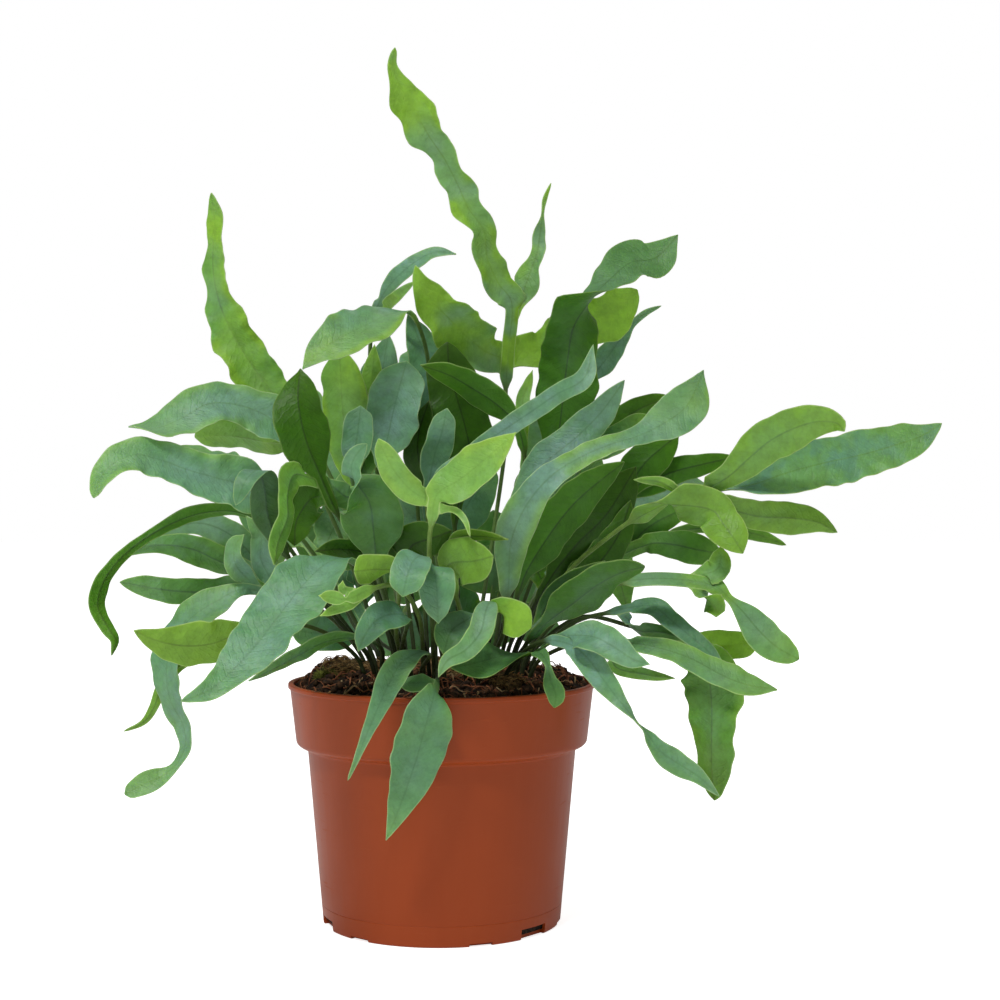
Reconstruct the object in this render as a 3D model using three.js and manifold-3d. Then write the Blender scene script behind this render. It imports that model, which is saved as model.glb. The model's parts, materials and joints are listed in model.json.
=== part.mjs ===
// A fern with blue-grey, lobed fronds in a plastic nursery pot. Millimetres, +Z up, -Y towards the viewer.
// The origin is the middle of the pot's foot, on the surface it stands on.

import * as THREE from "three";
import { mergeVertices } from "three/addons/utils/BufferGeometryUtils.js";
import Module from "manifold-3d";

const wasm = await Module();
wasm.setup();

// ---------------------------------------------------------------- driving dimensions

const POT = {
  height: 93,
  rimRadius: 60,
  bandTopRadius: 59.2,
  bandFootRadius: 56.8,
  bandHeight: 23.5,
  bodyTopRadius: 52.4,
  footRadius: 46.3,
  wall: 1.3,
  sides: 36,
};
const NOTCH = {
  tall: { turns: [-70, 50, 170], width: 14, height: 4 },
  low: { turns: [-100, -40, 20, 80, 140, 200], width: 9, height: 1.2 },
  depth: 5,
};
const SOIL = {
  edgeHeight: 89.5,
  mound: 6,
  lump: 1.3,
  level: 0.8,
  gap: 0.3,
  sides: 18,
  rings: 3,
  banks: [
    { x: -42, y: 6, across: 15, along: 24, height: 7 },
    { x: 44, y: 4, across: 13, along: 22, height: 4.5 },
  ],
};
const RHIZOME = { radius: 4.4, sides: 6, steps: 5, gap: 0.35 };
const STALK = { sunk: 3, collarHeight: 103, half: 0.85, thick: 0.8, edgeThick: 0.48, rows: 2, lean: 0.5 };
const HOLE = { radius: 2.55, sides: 3, below: 0.7, length: 34 };
const BLADE = {
  midThick: 0.5,
  edgeThick: 0.34,
  rowStep: 8.8,
  rowsPerWave: 0.45,
  leastRows: 5,
  tipHalf: 0.6,
  cup: 0.1,
  leastShown: 0.68,
};
const RACHIS = { rowStep: 3.4, leastRows: 4, wing: 2.2 };
const WAVE = { pitch: 22, width: 0.12, lift: 0.2, share: 0.4 };

// The half widths of a pointed and of a round-ended blade from base to tip, as shares of the greatest.
const POINTED = [0.32, 0.76, 0.97, 1, 0.94, 0.79, 0.53, 0.1];
const ROUNDED = [0.4, 0.78, 0.95, 1, 0.99, 0.93, 0.76, 0.22];
const CURVE_SAMPLES = 200;
const FLATNESS = 0.03;

// The fronds are laid out as they are seen from in front, by an eye at EYE. A point [across, up, depth] is
// where the eye sees it on the upright plane through the pot's axis, with its true depth behind that plane.
const EYE = new THREE.Vector3(22.7, -680, 164);

// ---------------------------------------------------------------- the fronds

// root: where the stalk leaves the soil, in plan. stem: points up the stalk. rachis: the winged axis that
// carries the lobes. blade: the midrib from its base to its tip. half: the greatest half width of a plain
// pointed blade, and round: that of a round-ended one. widths: the half widths of a shaped one, evenly spread
// from base to tip, as they are seen. wave: how much the margins wave. pitch: how far apart the waves are.
// step: how far apart the rachis's rows are.
// faces: which way the upper side looks, evenly spread from the blade's base to its tip, in letters:
// F front, B back, L left, R right, U up, D down. rachisFaces: the same on the rachis.
// at: where on the rachis a lobe stands, from 0 to 1. spread: how many rows of it the lobe's base takes on
// either side. tone: the frond's colour.
const FRONDS = [
  {
    name: "frond_tall", tone: "green", root: [12, 14], pitch: 17, wave: 1.1, wing: 3,
    stem: [[20, 150, 20], [25, 188, 27], [25, 201, 29]],
    rachis: [[25, 210, 30], [26, 224, 31], [27, 242, 31]],
    blade: [[22, 249, 30], [17.5, 259, 27], [16.3, 269, 24], [10, 279, 22], [6, 288, 20], [1.5, 297, 17],
      [-4.5, 306, 13], [-10.5, 316, 9], [-16, 325, 5], [-19.5, 334, 2], [-18.5, 341.5, 0]],
    widths: [5.6, 6, 5, 5, 6, 5.2, 5, 7, 7.2, 3, 1], faces: "FFR FFR FFL FFL FFR",
    lobes: [
      {
        at: 0.25, spread: 2,
        path: [[17.5, 222, 24], [10, 228, 18], [3, 235, 12], [-3.5, 242, 8], [-8, 249, 5],
          [-10.5, 256, 4]], widths: [6.8, 8.4, 9.8, 9.4, 7.8, 4.6, 1], faces: "FFL FFL",
      },
      {
        at: 0.38, spread: 2,
        path: [[37, 223, 34], [50, 228.5, 40], [61, 234, 45], [70, 240, 47], [76.5, 246.5, 48]],
        widths: [7.6, 7.8, 8, 8.6, 9.2, 8, 2.4], faces: "FFU FFR",
      },
      {
        at: 0.88,
        path: [[32, 246, 34], [34.6, 253, 35], [37.3, 261, 36], [38.3, 268, 37], [39.3, 276, 37],
          [40, 281, 37], [42.7, 288.3, 36]], widths: [4.2, 6, 5, 2.9, 2.9, 2.4, 0.6, 0.9, 0.4],
        faces: "FFL FFL FFR",
      },
    ],
  },
  {
    name: "frond_fold", tone: "green", root: [20, 6], stem: [[34, 150, 8], [42, 172, 8]],
    blade: [[45, 184, 8], [47.5, 203, 6], [49.5, 220, 2], [51.5, 232, -3], [57, 241, -5], [65.5, 250, 0],
      [74, 257, 6], [84, 259, 10], [92.5, 268, 12]],
    widths: [6, 10, 11.6, 11.4, 10.6, 9, 5, 7.4, 9, 7, 0.8], faces: "BBR BBR BBR BU U FU FFU FFU",
  },
  {
    name: "frond_twist", tone: "glaucous", root: [8, -4], stem: [[0, 130, -18], [-4, 160, -28]],
    blade: [[-2, 174, -32], [10, 182, -34], [22, 190, -34], [34, 198, -33], [45, 205.5, -30],
      [55.5, 211.5, -26], [59.3, 225, -20]], widths: [1, 2, 3.5, 4, 3.9, 3.9, 3.4, 0.4],
    faces: "FU F F FU",
  },
  {
    name: "frond_dark_top", tone: "green", root: [16, 4], stem: [[26, 140, 4], [32, 172, 4]],
    rachis: [[32, 184, 3], [29, 194, 1]],
    blade: [[21, 202, -1], [11, 208.5, -4], [2, 213.5, -8], [-8.5, 217, -11]], half: 5.8, faces: "BBU BU",
    lobes: [
      { at: 0.5, path: [[31.5, 203, 6], [33.5, 209, 8], [35.5, 215, 9]], half: 2.8, faces: "F" },
    ],
  },
  {
    name: "frond_broad", tone: "green", root: [6, 8], stem: [[6, 140, 10]],
    rachis: [[5, 156, 11], [8, 169, 11]],
    blade: [[11, 180, 12], [9, 192, 12], [6, 203, 12], [3, 214, 12], [2, 226, 11]], round: 10.8,
    faces: "BBL BBL B",
    lobes: [
      {
        at: 0.5, path: [[-4, 170, 9], [-9, 180, 7], [-9, 190, 7], [-5, 203, 8]], half: 6.6,
        faces: "BBR BBR",
      },
    ],
  },
  {
    name: "frond_back_blue", tone: "glaucous", root: [-6, 14], stem: [[-8, 140, 22]],
    rachis: [[-10, 174, 28], [-8, 190, 30]],
    blade: [[-4, 203, 32], [-4, 213, 33], [-8, 224, 34], [-13.5, 237, 34]], half: 7.8, faces: "FFR FFR",
    lobes: [
      { at: 0.5, path: [[-18, 196, 27], [-23, 210, 26], [-21, 229, 25]], half: 9.4, faces: "FFL FL" },
    ],
  },
  {
    name: "frond_round_blue", tone: "glaucous", root: [-10, -2], stem: [[-16, 140, 0], [-22, 170, 2]],
    blade: [[-22.5, 181, 3], [-20.5, 192, 2], [-17.5, 205, 0], [-14, 218.5, -2]], round: 10.8,
    faces: "FFL FFL FFR",
  },
  {
    name: "frond_arch", tone: "glaucous", root: [-4, 10],
    stem: [[-4, 150, 24], [-4, 200, 26], [-7, 226, 22]],
    blade: [[-13, 237.5, 10], [-21, 236.5, 2], [-31, 232, -5], [-40, 227.5, -10], [-48, 222.5, -13],
      [-54.8, 215.3, -15]], widths: [1.5, 4.5, 7.8, 9.5, 9.9, 9.5, 7.2, 4.2, 0.6], faces: "U FU FFU FFL",
  },
  {
    name: "frond_slender", tone: "glaucous", root: [-14, 14],
    stem: [[-22, 150, 38], [-28, 200, 44], [-28, 228, 38]], rachis: [[-27, 235, 34], [-24, 243, 30]],
    blade: [[-19, 250, 24], [-11, 257, 22], [-3, 261, 20], [5.5, 260.5, 18]], half: 3.4, faces: "F FU",
    lobes: [
      { at: 0.5, path: [[-18, 244, 20], [-10.5, 250, 17]], half: 2.4, faces: "F" },
    ],
  },
  {
    name: "frond_left_tall", tone: "green", root: [-18, 8], pitch: 15, wave: 0.8,
    stem: [[-34, 150, 16], [-50, 185, 20]],
    blade: [[-61, 199, 22], [-72, 213, 23], [-80.5, 226, 24], [-86.5, 239, 25], [-89.3, 251, 25],
      [-89.7, 262, 24], [-89.2, 273, 22], [-90.5, 284.5, 20]],
    widths: [4, 7.5, 8.4, 8.4, 8.2, 6.9, 4.6, 4.5, 3.2, 3.4, 1], faces: "BBL BBL BBR BBR",
  },
  {
    name: "frond_left_wing", tone: "glaucous", root: [-22, -2], wing: 4,
    stem: [[-36, 140, -2], [-48, 168, -4]], rachis: [[-53, 181, -6], [-60, 190, -8]], rachisFaces: "FU U",
    blade: [[-71, 198, -10], [-82, 201.5, -14], [-92, 201.5, -19], [-102, 196, -24], [-112, 192, -28],
      [-123, 192.8, -31]], widths: [5, 8.8, 8, 8, 8.6, 9, 7.6, 6, 4], faces: "FU FFU FFU FU U",
    lobes: [
      {
        at: 0.5, path: [[-68, 187, 2], [-78, 188.8, 6], [-88, 189.6, 8], [-97, 188.8, 9]],
        widths: [3.5, 4.6, 5.4, 5.6, 5.6, 5.2, 3], faces: "BU BU",
      },
    ],
  },
  {
    name: "frond_left_hook", tone: "glaucous", root: [-24, -8], stem: [[-42, 130, -14], [-56, 150, -18]],
    blade: [[-66, 160, -20], [-79, 169.5, -24], [-90, 173, -28], [-100, 175.8, -31], [-110, 179.5, -34],
      [-120, 181.6, -38], [-128.5, 178.5, -42], [-134, 172.5, -44], [-136.8, 164.8, -45]],
    widths: [3, 8.6, 9.8, 8.6, 7.6, 7.1, 6.9, 5, 1.8], faces: "FU FFU FFU FU",
  },
  {
    name: "frond_left_whip", tone: "green", root: [-26, 0], stem: [[-48, 128, -2], [-66, 152, -4]],
    blade: [[-80, 159.5, -6], [-94, 159.3, -9], [-106, 155, -12], [-117, 148.5, -16], [-127, 140.5, -20],
      [-133.5, 131, -23], [-135.3, 122, -25], [-131, 113.5, -27], [-128.3, 109, -28], [-129.7, 103, -28]],
    widths: [2, 2.8, 3, 2.6, 2.2, 2.2, 2.4, 2.9, 2.4, 2, 0.5], faces: "BU BU B BL BL BL",
  },
  {
    name: "frond_left_back", tone: "green", root: [-26, 8], stem: [[-44, 118, 10]],
    rachis: [[-62, 131, 12], [-76, 137, 13]], rachisFaces: "U U",
    blade: [[-87, 140, 12], [-97, 144.5, 10], [-107, 146.3, 8], [-116, 145.8, 7], [-127, 141.5, 6]],
    widths: [3, 5.4, 6, 5.4, 3.6, 2.2, 0.6], faces: "BU B B",
    lobes: [
      { at: 0.4, path: [[-84, 151, 17], [-97, 155, 19], [-113, 150, 20]], half: 5.6, faces: "F F" },
      {
        at: 0.5, path: [[-88, 128.5, 6], [-104, 128.3, 3], [-126.5, 131.8, 1]], round: 5.2, faces: "B B",
      },
    ],
  },
  {
    name: "frond_front_left", tone: "glaucous", root: [-12, -18],
    stem: [[-22, 118, -36], [-31, 136, -48]],
    blade: [[-39, 141, -55], [-46, 138.5, -61], [-54, 131, -67], [-63, 119.8, -74], [-72, 108, -81],
      [-82, 97.2, -88], [-91, 89.5, -94], [-102.5, 85, -99]],
    widths: [4, 9, 12.4, 12.6, 12, 11.2, 9.2, 6.6, 4, 1], faces: "U FU FFL FFL FFL FFL",
  },
  {
    name: "frond_left_bright", tone: "young", root: [-28, -12], stem: [[-46, 112, -22]],
    rachis: [[-64, 116, -34], [-78, 113, -38]],
    blade: [[-90, 108, -42], [-101, 107, -46], [-112, 109, -50], [-121, 112.8, -53]],
    widths: [3, 7.5, 8.8, 8.8, 7.2, 4.2, 1], faces: "BU B",
    lobes: [
      {
        at: 0.6,
        path: [[-92, 103, -28], [-103, 99, -25], [-110, 91, -24], [-113, 83, -24], [-117, 77, -24],
          [-125, 73.2, -25]], widths: [1.6, 1.4, 1.6, 2.4, 1.8, 0.5], faces: "BU B",
      },
    ],
  },
  {
    name: "frond_left_hanging", tone: "glaucous", root: [-28, -4], stem: [[-44, 118, -10]],
    rachis: [[-58, 124, -16], [-78, 129, -25]],
    blade: [[-88, 124.5, -28], [-99, 117, -31], [-106, 106, -33], [-108, 94.5, -34], [-106, 84.5, -34],
      [-101.5, 76, -35], [-100.5, 68, -36], [-103.5, 61, -38], [-109, 56, -40], [-116, 53, -41],
      [-124.5, 48.5, -42]], widths: [2.5, 5.8, 6.6, 6.4, 6.3, 5.6, 4.6, 3, 1.9, 4.4, 2.6], faces: "FL",
    lobes: [
      { at: 0.35, path: [[-71, 141, -26], [-71, 150, -28], [-77, 158, -28]], half: 4.8, faces: "FL" },
      { at: 0.8, path: [[-81, 139, -30], [-81, 146, -32], [-77.5, 150.5, -33]], half: 4.8, faces: "FL" },
    ],
  },
  {
    name: "frond_left_curl", tone: "glaucous", root: [-24, -14], stem: [[-42, 118, -24], [-58, 138, -30]],
    blade: [[-65, 149, -33], [-68.5, 159, -36], [-69.5, 168, -41], [-72, 175.5, -47], [-77, 171.5, -53],
      [-81, 162, -55]], widths: [3.5, 6, 6.4, 5.8, 4.6, 4, 1.4], faces: "B B BU U FU F",
  },
  {
    name: "frond_left_three", tone: "green", root: [-16, -10], stem: [[-26, 130, -24], [-36, 150, -34]],
    rachis: [[-42, 160, -38], [-49, 176, -40]],
    blade: [[-54, 189, -40], [-56.5, 203, -38], [-55.5, 215.5, -35]],
    widths: [4, 7.8, 9.4, 9.9, 9.6, 8.6, 5.8, 0.8], faces: "BBL BBL BBR",
    lobes: [
      {
        at: 0.72,
        path: [[-58, 174, -44], [-61, 166, -50], [-61, 157, -53], [-64.5, 148, -56], [-66, 138.5, -58]],
        widths: [5, 6, 4.4, 2.8, 3, 3.4, 2.8, 0.6], faces: "BL BL",
      },
      { at: 0.5, path: [[-36, 165, -34], [-31, 170, -31]], half: 5, faces: "B" },
      { at: 0.3, path: [[-52, 164, -30], [-57, 156, -28], [-58, 146, -28]], round: 7, faces: "B" },
    ],
  },
  {
    name: "frond_centre_curl", tone: "glaucous", root: [-10, -24],
    stem: [[-20, 118, -44], [-25, 134, -52]],
    blade: [[-26, 143, -56], [-27, 153, -59], [-28.5, 163, -62], [-34, 171, -66], [-35.5, 177, -68],
      [-33.5, 182, -69], [-29.5, 186, -69]], widths: [5, 10, 12.2, 12.2, 10.5, 5, 4, 3.6, 1.6],
    faces: "B B B B BL FL F F",
  },
  {
    name: "frond_round_small", tone: "glaucous", root: [-14, -6],
    stem: [[-26, 140, -16], [-34, 168, -24]],
    blade: [[-35, 178, -27], [-33.5, 188, -29], [-32, 201, -30]], round: 6.2, faces: "FFL FFR",
  },
  {
    name: "frond_light_back", tone: "green", root: [-14, 6], stem: [[-28, 140, 12]],
    rachis: [[-33, 160, 14], [-36, 174, 14]],
    blade: [[-37, 184, 15], [-38.5, 196, 16], [-39.5, 209, 16], [-40, 223, 15]], round: 9.6,
    faces: "BBR BBR",
    lobes: [
      {
        at: 0.6, path: [[-29, 188, 18], [-28, 202, 20], [-27.5, 214, 20], [-26.5, 225, 20]], half: 6.5,
        faces: "B",
      },
    ],
  },
  {
    name: "frond_centre_strap", tone: "glaucous", root: [-2, -8], stem: [[-4, 140, -14], [-6, 162, -18]],
    blade: [[-5, 172, -19], [-3, 182, -20], [0, 191, -21], [2, 200, -21]], round: 5.6,
    faces: "FFR FFR FFL",
  },
  {
    name: "frond_young_three", tone: "young", root: [2, -26], stem: [[-4, 124, -50], [-5, 148, -63]],
    rachis: [[-4, 156, -66], [-2, 166, -68]], blade: [[7, 172, -70], [17, 180, -72], [29, 190.5, -74]],
    widths: [5, 7.6, 8, 8, 7.6, 6, 3.4, 0.5], faces: "FFU FFU",
    lobes: [
      {
        at: 0.7, path: [[-11, 167, -68], [-19, 176, -70], [-25, 188, -72]],
        widths: [4.6, 5.2, 5.4, 5.4, 5, 4, 1.6], faces: "FFL FFL",
      },
      { at: 0.5, path: [[5, 160, -70], [9, 156, -73], [11, 149.5, -75]], half: 1.4, faces: "F" },
    ],
  },
  {
    name: "frond_dark_wave", tone: "green", root: [-4, -16], stem: [[-10, 118, -34]],
    rachis: [[-14, 133, -42], [-18, 141, -46]],
    blade: [[-28, 143.5, -49], [-40, 145, -50], [-50, 144, -51]], half: 4.6, faces: "BU",
    lobes: [
      { at: 0.6, path: [[-12, 146, -50], [-4, 149, -53], [4, 152, -56]], half: 8, faces: "B" },
    ],
  },
  {
    name: "frond_bright_small", tone: "young", root: [-14, -22], stem: [[-18, 112, -46], [-17, 128, -62]],
    blade: [[-18, 136, -72], [-25, 137, -80], [-34.5, 136, -86]], widths: [2, 4.6, 5.6, 5.8, 6, 6, 5],
    faces: "BU B",
  },
  {
    name: "frond_tongues", tone: "glaucous", root: [-2, -28], stem: [[-4, 118, -52]],
    rachis: [[-6, 136, -64], [-8, 142, -74]], rachisFaces: "U U",
    blade: [[-12, 139, -82], [-14, 133, -86], [-15.5, 126, -87]], round: 7.4, faces: "FU F",
    lobes: [
      { at: 0.5, path: [[-3, 136, -74], [-2, 127, -76], [-1.5, 115.5, -76]], half: 7.4, faces: "FU F" },
    ],
  },
  {
    name: "frond_bright_right", tone: "young", root: [10, -20], stem: [[8, 116, -38]],
    rachis: [[5, 128, -49], [2, 137, -55]], blade: [[4.5, 139.5, -62], [12, 140, -68], [20, 142, -73]],
    widths: [3, 8.2, 9.4, 9.2, 7.6, 2.6], faces: "B",
    lobes: [
      { at: 0.5, path: [[6, 149, -56], [15, 150, -60], [26, 148.5, -64]], half: 2.8, faces: "BU" },
    ],
  },
  {
    name: "frond_long_strap", tone: "glaucous", root: [18, -14], stem: [[24, 112, -34], [25, 124, -44]],
    blade: [[26, 132, -50], [27, 148, -52], [33, 162, -50], [43, 173.5, -47], [55, 181, -43],
      [67, 186, -39], [77, 189, -35], [87, 194, -31], [96, 201, -27], [102.5, 215, -23]],
    widths: [4, 6.6, 7.4, 6, 4.8, 4.2, 3.8, 4.6, 8.4, 7.8, 0.6], faces: "FFR FFR FFU FU FFU FFR",
  },
  {
    name: "frond_dark_right", tone: "green", root: [22, -8], stem: [[28, 120, -24]],
    blade: [[32, 134, -28], [41, 149, -28], [51, 162, -27], [61, 171, -25], [71.5, 179, -22]], half: 8.4,
    faces: "BBL BBU",
  },
  {
    name: "frond_deep_right", tone: "green", root: [26, -2], stem: [[34, 118, -10]],
    rachis: [[38, 126, -12], [44, 136, -14]], blade: [[53, 147, -12], [64, 158, -10], [76, 177, -6]],
    half: 10.8, faces: "BBL BBU",
    lobes: [
      {
        at: 0.4, path: [[50, 132, -14], [60, 138, -12], [69, 150, -10], [74, 164, -8]], half: 7,
        faces: "B",
      },
      { at: 0.5, path: [[35, 142, -2], [33, 154, 0], [35, 166, 2]], half: 7, faces: "B" },
    ],
  },
  {
    name: "frond_up_right", tone: "glaucous", root: [20, 0], stem: [[24, 130, -4], [26, 152, -8]],
    blade: [[30, 167, -10], [41, 179, -10], [52, 188, -9], [62, 198, -6], [71.5, 211, -2]], half: 7.3,
    faces: "FFU FFU FFR",
  },
  {
    name: "frond_right_pair", tone: "green", root: [24, 12], stem: [[38, 140, 18]],
    rachis: [[52, 172, 22], [60, 186, 24]], rachisFaces: "U U",
    blade: [[70, 195, 26], [81, 201.5, 28], [92, 204, 30]], half: 5, faces: "BU B",
    lobes: [
      { at: 0.6, path: [[70, 189, 17], [82.5, 197, 14]], round: 5.4, faces: "F" },
    ],
  },
  {
    name: "frond_right_dark", tone: "green", root: [26, 6], stem: [[44, 134, 6]],
    rachis: [[60, 157, 8], [72, 168, 9]], blade: [[80, 179, 10], [93, 190, 12]],
    half: 8, faces: "B",
    lobes: [
      { at: 0.75, path: [[88, 174, 14], [102, 178, 16], [116, 181, 18]], half: 5.4, faces: "B" },
      { at: 0.3, path: [[77, 170, 4], [87, 172, 1]], half: 3, faces: "B" },
    ],
  },
  {
    name: "frond_right_great", tone: "young", root: [28, -8], wing: 5.4,
    stem: [[48, 134, -22], [66, 150, -31]], rachis: [[76, 157, -34], [90, 164, -37], [106, 170, -40]],
    rachisFaces: "BU U U",
    blade: [[113, 174, -42], [121, 181, -44], [129, 187.5, -47], [139, 192.5, -50], [149, 195, -53],
      [155.5, 194, -56], [157.8, 191, -58]], widths: [4, 5.4, 7.2, 8.4, 8.6, 7.4, 5, 1.4],
    faces: "BU B B B BU",
    lobes: [
      { at: 0.7, path: [[86, 171, -41], [75, 172, -43]], half: 2, faces: "B" },
      {
        at: 0.3, path: [[106, 160, -43], [110, 155, -46], [114, 149.5, -49], [118, 143, -51]], round: 8,
        faces: "B",
      },
      {
        at: 0.6,
        path: [[113, 160.5, -36], [125, 157.5, -33], [136, 157, -30], [147, 155.3, -28],
          [155, 151.3, -27]], widths: [3.5, 4.6, 5, 5.8, 6.6, 5, 1], faces: "B",
      },
      {
        at: 0.92,
        path: [[120, 169.5, -36], [135, 174.5, -32], [150, 178.5, -28], [164, 181.5, -25],
          [178, 185.5, -23], [188, 189, -22], [196, 194, -21]],
        widths: [4.5, 5, 7.6, 9.8, 9.6, 8.6, 7, 1], faces: "FFU FFU FFU",
      },
    ],
  },
  {
    name: "frond_right_second", tone: "green", root: [30, 2], wing: 4.2,
    stem: [[40, 114, 2], [46, 123, 1]], rachis: [[56, 133, 0], [68, 141.5, -1], [82, 147, -3]],
    rachisFaces: "BU BU", blade: [[91, 146.5, -5], [100, 144.5, -7], [110, 143, -9]],
    widths: [4.2, 5, 6, 6.4, 5, 1.6], faces: "B",
    lobes: [
      { at: 0.6, path: [[78, 151, 4], [89, 158, 6], [101, 162, 8]], half: 5.8, faces: "B" },
      {
        at: 0.85, path: [[94, 152, 7], [110, 153, 7], [120, 151.5, 6], [128, 149, 5], [135, 146.3, 4]],
        widths: [1.8, 1.8, 2, 3, 2.8, 0.8], faces: "BU B",
      },
    ],
  },
  {
    name: "frond_right_arm", tone: "green", root: [30, -12], wing: 3.4,
    stem: [[46, 118, -24], [60, 128, -30]], rachis: [[73, 132, -33], [88, 133, -36], [107, 130, -39]],
    blade: [[113, 125, -41], [118, 120, -43], [124, 113, -45], [131, 106.5, -47], [140, 101.5, -49]],
    widths: [3.5, 1.6, 4, 6.2, 6.6, 5.6, 2.6], faces: "FU F",
    lobes: [
      { at: 0.84, path: [[108, 137, -37], [109.5, 146, -35]], half: 5, faces: "F" },
      { at: 0.84, path: [[107, 122, -42], [107.5, 118, -43]], round: 4.6, faces: "BU" },
    ],
  },
  {
    name: "frond_right_sickle", tone: "glaucous", root: [32, -4], stem: [[52, 116, -12]],
    rachis: [[66, 120, -18], [76, 122, -21]],
    blade: [[83, 122, -24], [90, 116.5, -27], [98, 110, -30], [105, 104, -33], [111, 97.5, -35]],
    widths: [2.6, 3.8, 3.8, 3.6, 3.4, 2.6, 0.6], faces: "FU F",
    lobes: [
      { at: 0.5, path: [[76, 113.5, -18], [87, 112, -20], [97, 109, -22]], half: 3, faces: "B" },
    ],
  },
  {
    name: "frond_right_hanging", tone: "green", root: [30, 8], stem: [[54, 118, 6], [76, 114, 0]],
    rachis: [[88, 111.5, -5], [99, 109.5, -10]], blade: [[109, 107, -13], [124.5, 108, -16]], round: 5.8,
    faces: "B",
    lobes: [
      {
        at: 0.5,
        path: [[102, 101, -15], [105, 93, -17], [106, 82, -18], [106, 72, -19], [106, 60, -18],
          [107, 46.2, -17]], widths: [5, 9, 10.8, 10.4, 9, 7.4, 6.4, 5, 1.8], faces: "BR",
      },
    ],
  },
  {
    name: "frond_right_strap", tone: "green", root: [32, -14], stem: [[50, 107, -30]],
    rachis: [[64, 108, -39], [76, 107.5, -44]],
    blade: [[88, 105, -48], [99, 101, -52], [109, 95.5, -56], [119, 91.5, -59], [131.5, 89.5, -61]],
    widths: [3, 3.8, 4.4, 5, 5.2, 4, 0.6], faces: "FU",
    lobes: [
      { at: 0.2, path: [[68, 99, -36], [80, 95.5, -36], [91.5, 94, -36]], half: 2.8, faces: "B" },
    ],
  },
  {
    name: "frond_right_drop", tone: "glaucous", root: [26, -22], stem: [[34, 106, -42]],
    rachis: [[42, 109, -52], [51, 107, -60]],
    blade: [[57, 102, -65], [63, 94, -68], [70, 84.5, -71], [75, 78.5, -73], [79, 74, -74], [85, 66, -75],
      [92, 61, -76], [100, 56, -77], [109, 47.5, -77]],
    widths: [4, 5.4, 5.2, 4.2, 2.2, 1.1, 2.6, 4.6, 4.2, 2.4, 0.5], faces: "F F F UR F F F",
    lobes: [
      {
        at: 0.6, path: [[60, 110, -67], [68, 106, -72], [75, 101.5, -76], [81.5, 99.5, -78]], half: 6.4,
        faces: "FU F",
      },
    ],
  },
  {
    name: "frond_grey_pair", tone: "green", root: [26, -14], stem: [[32, 106, -34]],
    rachis: [[35, 110, -43], [42, 117, -49]],
    blade: [[51, 123.5, -53], [61, 131, -57], [71, 136, -60], [79.5, 138, -62]],
    widths: [3, 6.6, 8.4, 8, 6.4, 4.4, 2], faces: "BU",
    lobes: [
      { at: 0.5, path: [[44, 128, -44], [55, 135, -42], [64, 140, -40]], half: 3.3, faces: "BU" },
    ],
  },
  {
    name: "frond_front_pair", tone: "green", root: [14, -26], stem: [[17, 108, -46]],
    rachis: [[19, 118, -58], [19, 124, -68]], rachisFaces: "U U",
    blade: [[17, 120, -78], [15, 112, -83], [9, 105, -85], [2, 101, -85], [-1.5, 94.5, -83]], half: 4.8,
    faces: "FU F",
    lobes: [
      { at: 0.5, path: [[25, 119, -70], [35, 114, -73]], widths: [4, 6, 6.8, 7.2, 6.6, 3.4], faces: "B" },
      {
        at: 0.5, path: [[10, 117, -66], [3.5, 112.5, -72], [0.5, 103.5, -76]],
        widths: [2, 4, 5.6, 6.6, 5.6, 1.6], faces: "FU F",
      },
    ],
  },
  {
    name: "frond_front_dark", tone: "green", root: [24, -28], stem: [[28, 100, -38]],
    rachis: [[32, 103, -44], [38, 104, -50]], rachisFaces: "U U",
    blade: [[41.5, 99, -56], [42.5, 93, -59], [44.5, 88, -60], [44, 82.5, -60]],
    widths: [3, 2.2, 1.2, 2.2, 3.6, 3.6, 2], faces: "FU F",
    lobes: [
      {
        at: 0.5, path: [[28, 103.5, -53], [20, 101.8, -56], [12, 99.6, -58], [3.5, 98, -60]],
        widths: [4.5, 6.4, 7, 7, 6.2, 4.2, 1], faces: "FU",
      },
      { at: 0.5, path: [[43, 108, -44], [50, 109, -42]], half: 2.2, faces: "U" },
    ],
  },
  {
    name: "frond_front_tongue", tone: "glaucous", root: [-2, -36], stem: [[-2, 97, -48]],
    rachis: [[-2, 92.5, -56], [-3, 88.5, -66]],
    blade: [[-4.5, 83, -69], [-7, 74, -70], [-10, 63, -69], [-14, 51, -68], [-18, 40, -67],
      [-22, 30.5, -66]], widths: [4.5, 9.4, 10.4, 9.8, 8.4, 6, 3.2, 0.5], faces: "FFR FFR FFL",
    lobes: [
      { at: 0.5, path: [[-9, 92, -62], [-17, 92, -60]], half: 3.2, faces: "FU" },
    ],
  },
  {
    name: "frond_front_whip", tone: "glaucous", root: [-8, -32], stem: [[-5, 103, -52]],
    blade: [[-9, 104, -62], [-16, 100, -68], [-21, 91.5, -71], [-25, 83, -72], [-30, 71, -72],
      [-37, 54, -70]], widths: [2, 4.8, 5.4, 4.4, 3, 2, 1.2, 0.5], faces: "FU F F",
  },
  {
    name: "frond_front_small", tone: "glaucous", root: [-16, -28], stem: [[-15, 110, -56]],
    blade: [[-14, 118, -69], [-20, 119, -75], [-26, 116.5, -79], [-30, 111.5, -81], [-33, 104.5, -82]],
    half: 6.2, faces: "FU F",
  },
  {
    name: "frond_left_thin", tone: "glaucous", root: [-22, -22], stem: [[-24, 106, -32]],
    blade: [[-32, 110, -38], [-45, 109, -43], [-57, 103, -47], [-67, 97.5, -50], [-76, 93, -52]], half: 3,
    faces: "BU",
  },
  {
    name: "frond_young_small", tone: "young", root: [-6, -24], stem: [[-9, 118, -48], [-17, 130, -66]],
    rachis: [[-28, 129, -85], [-38, 125, -93]], blade: [[-43, 126, -94], [-48.5, 126.5, -96]], half: 2.8,
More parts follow.
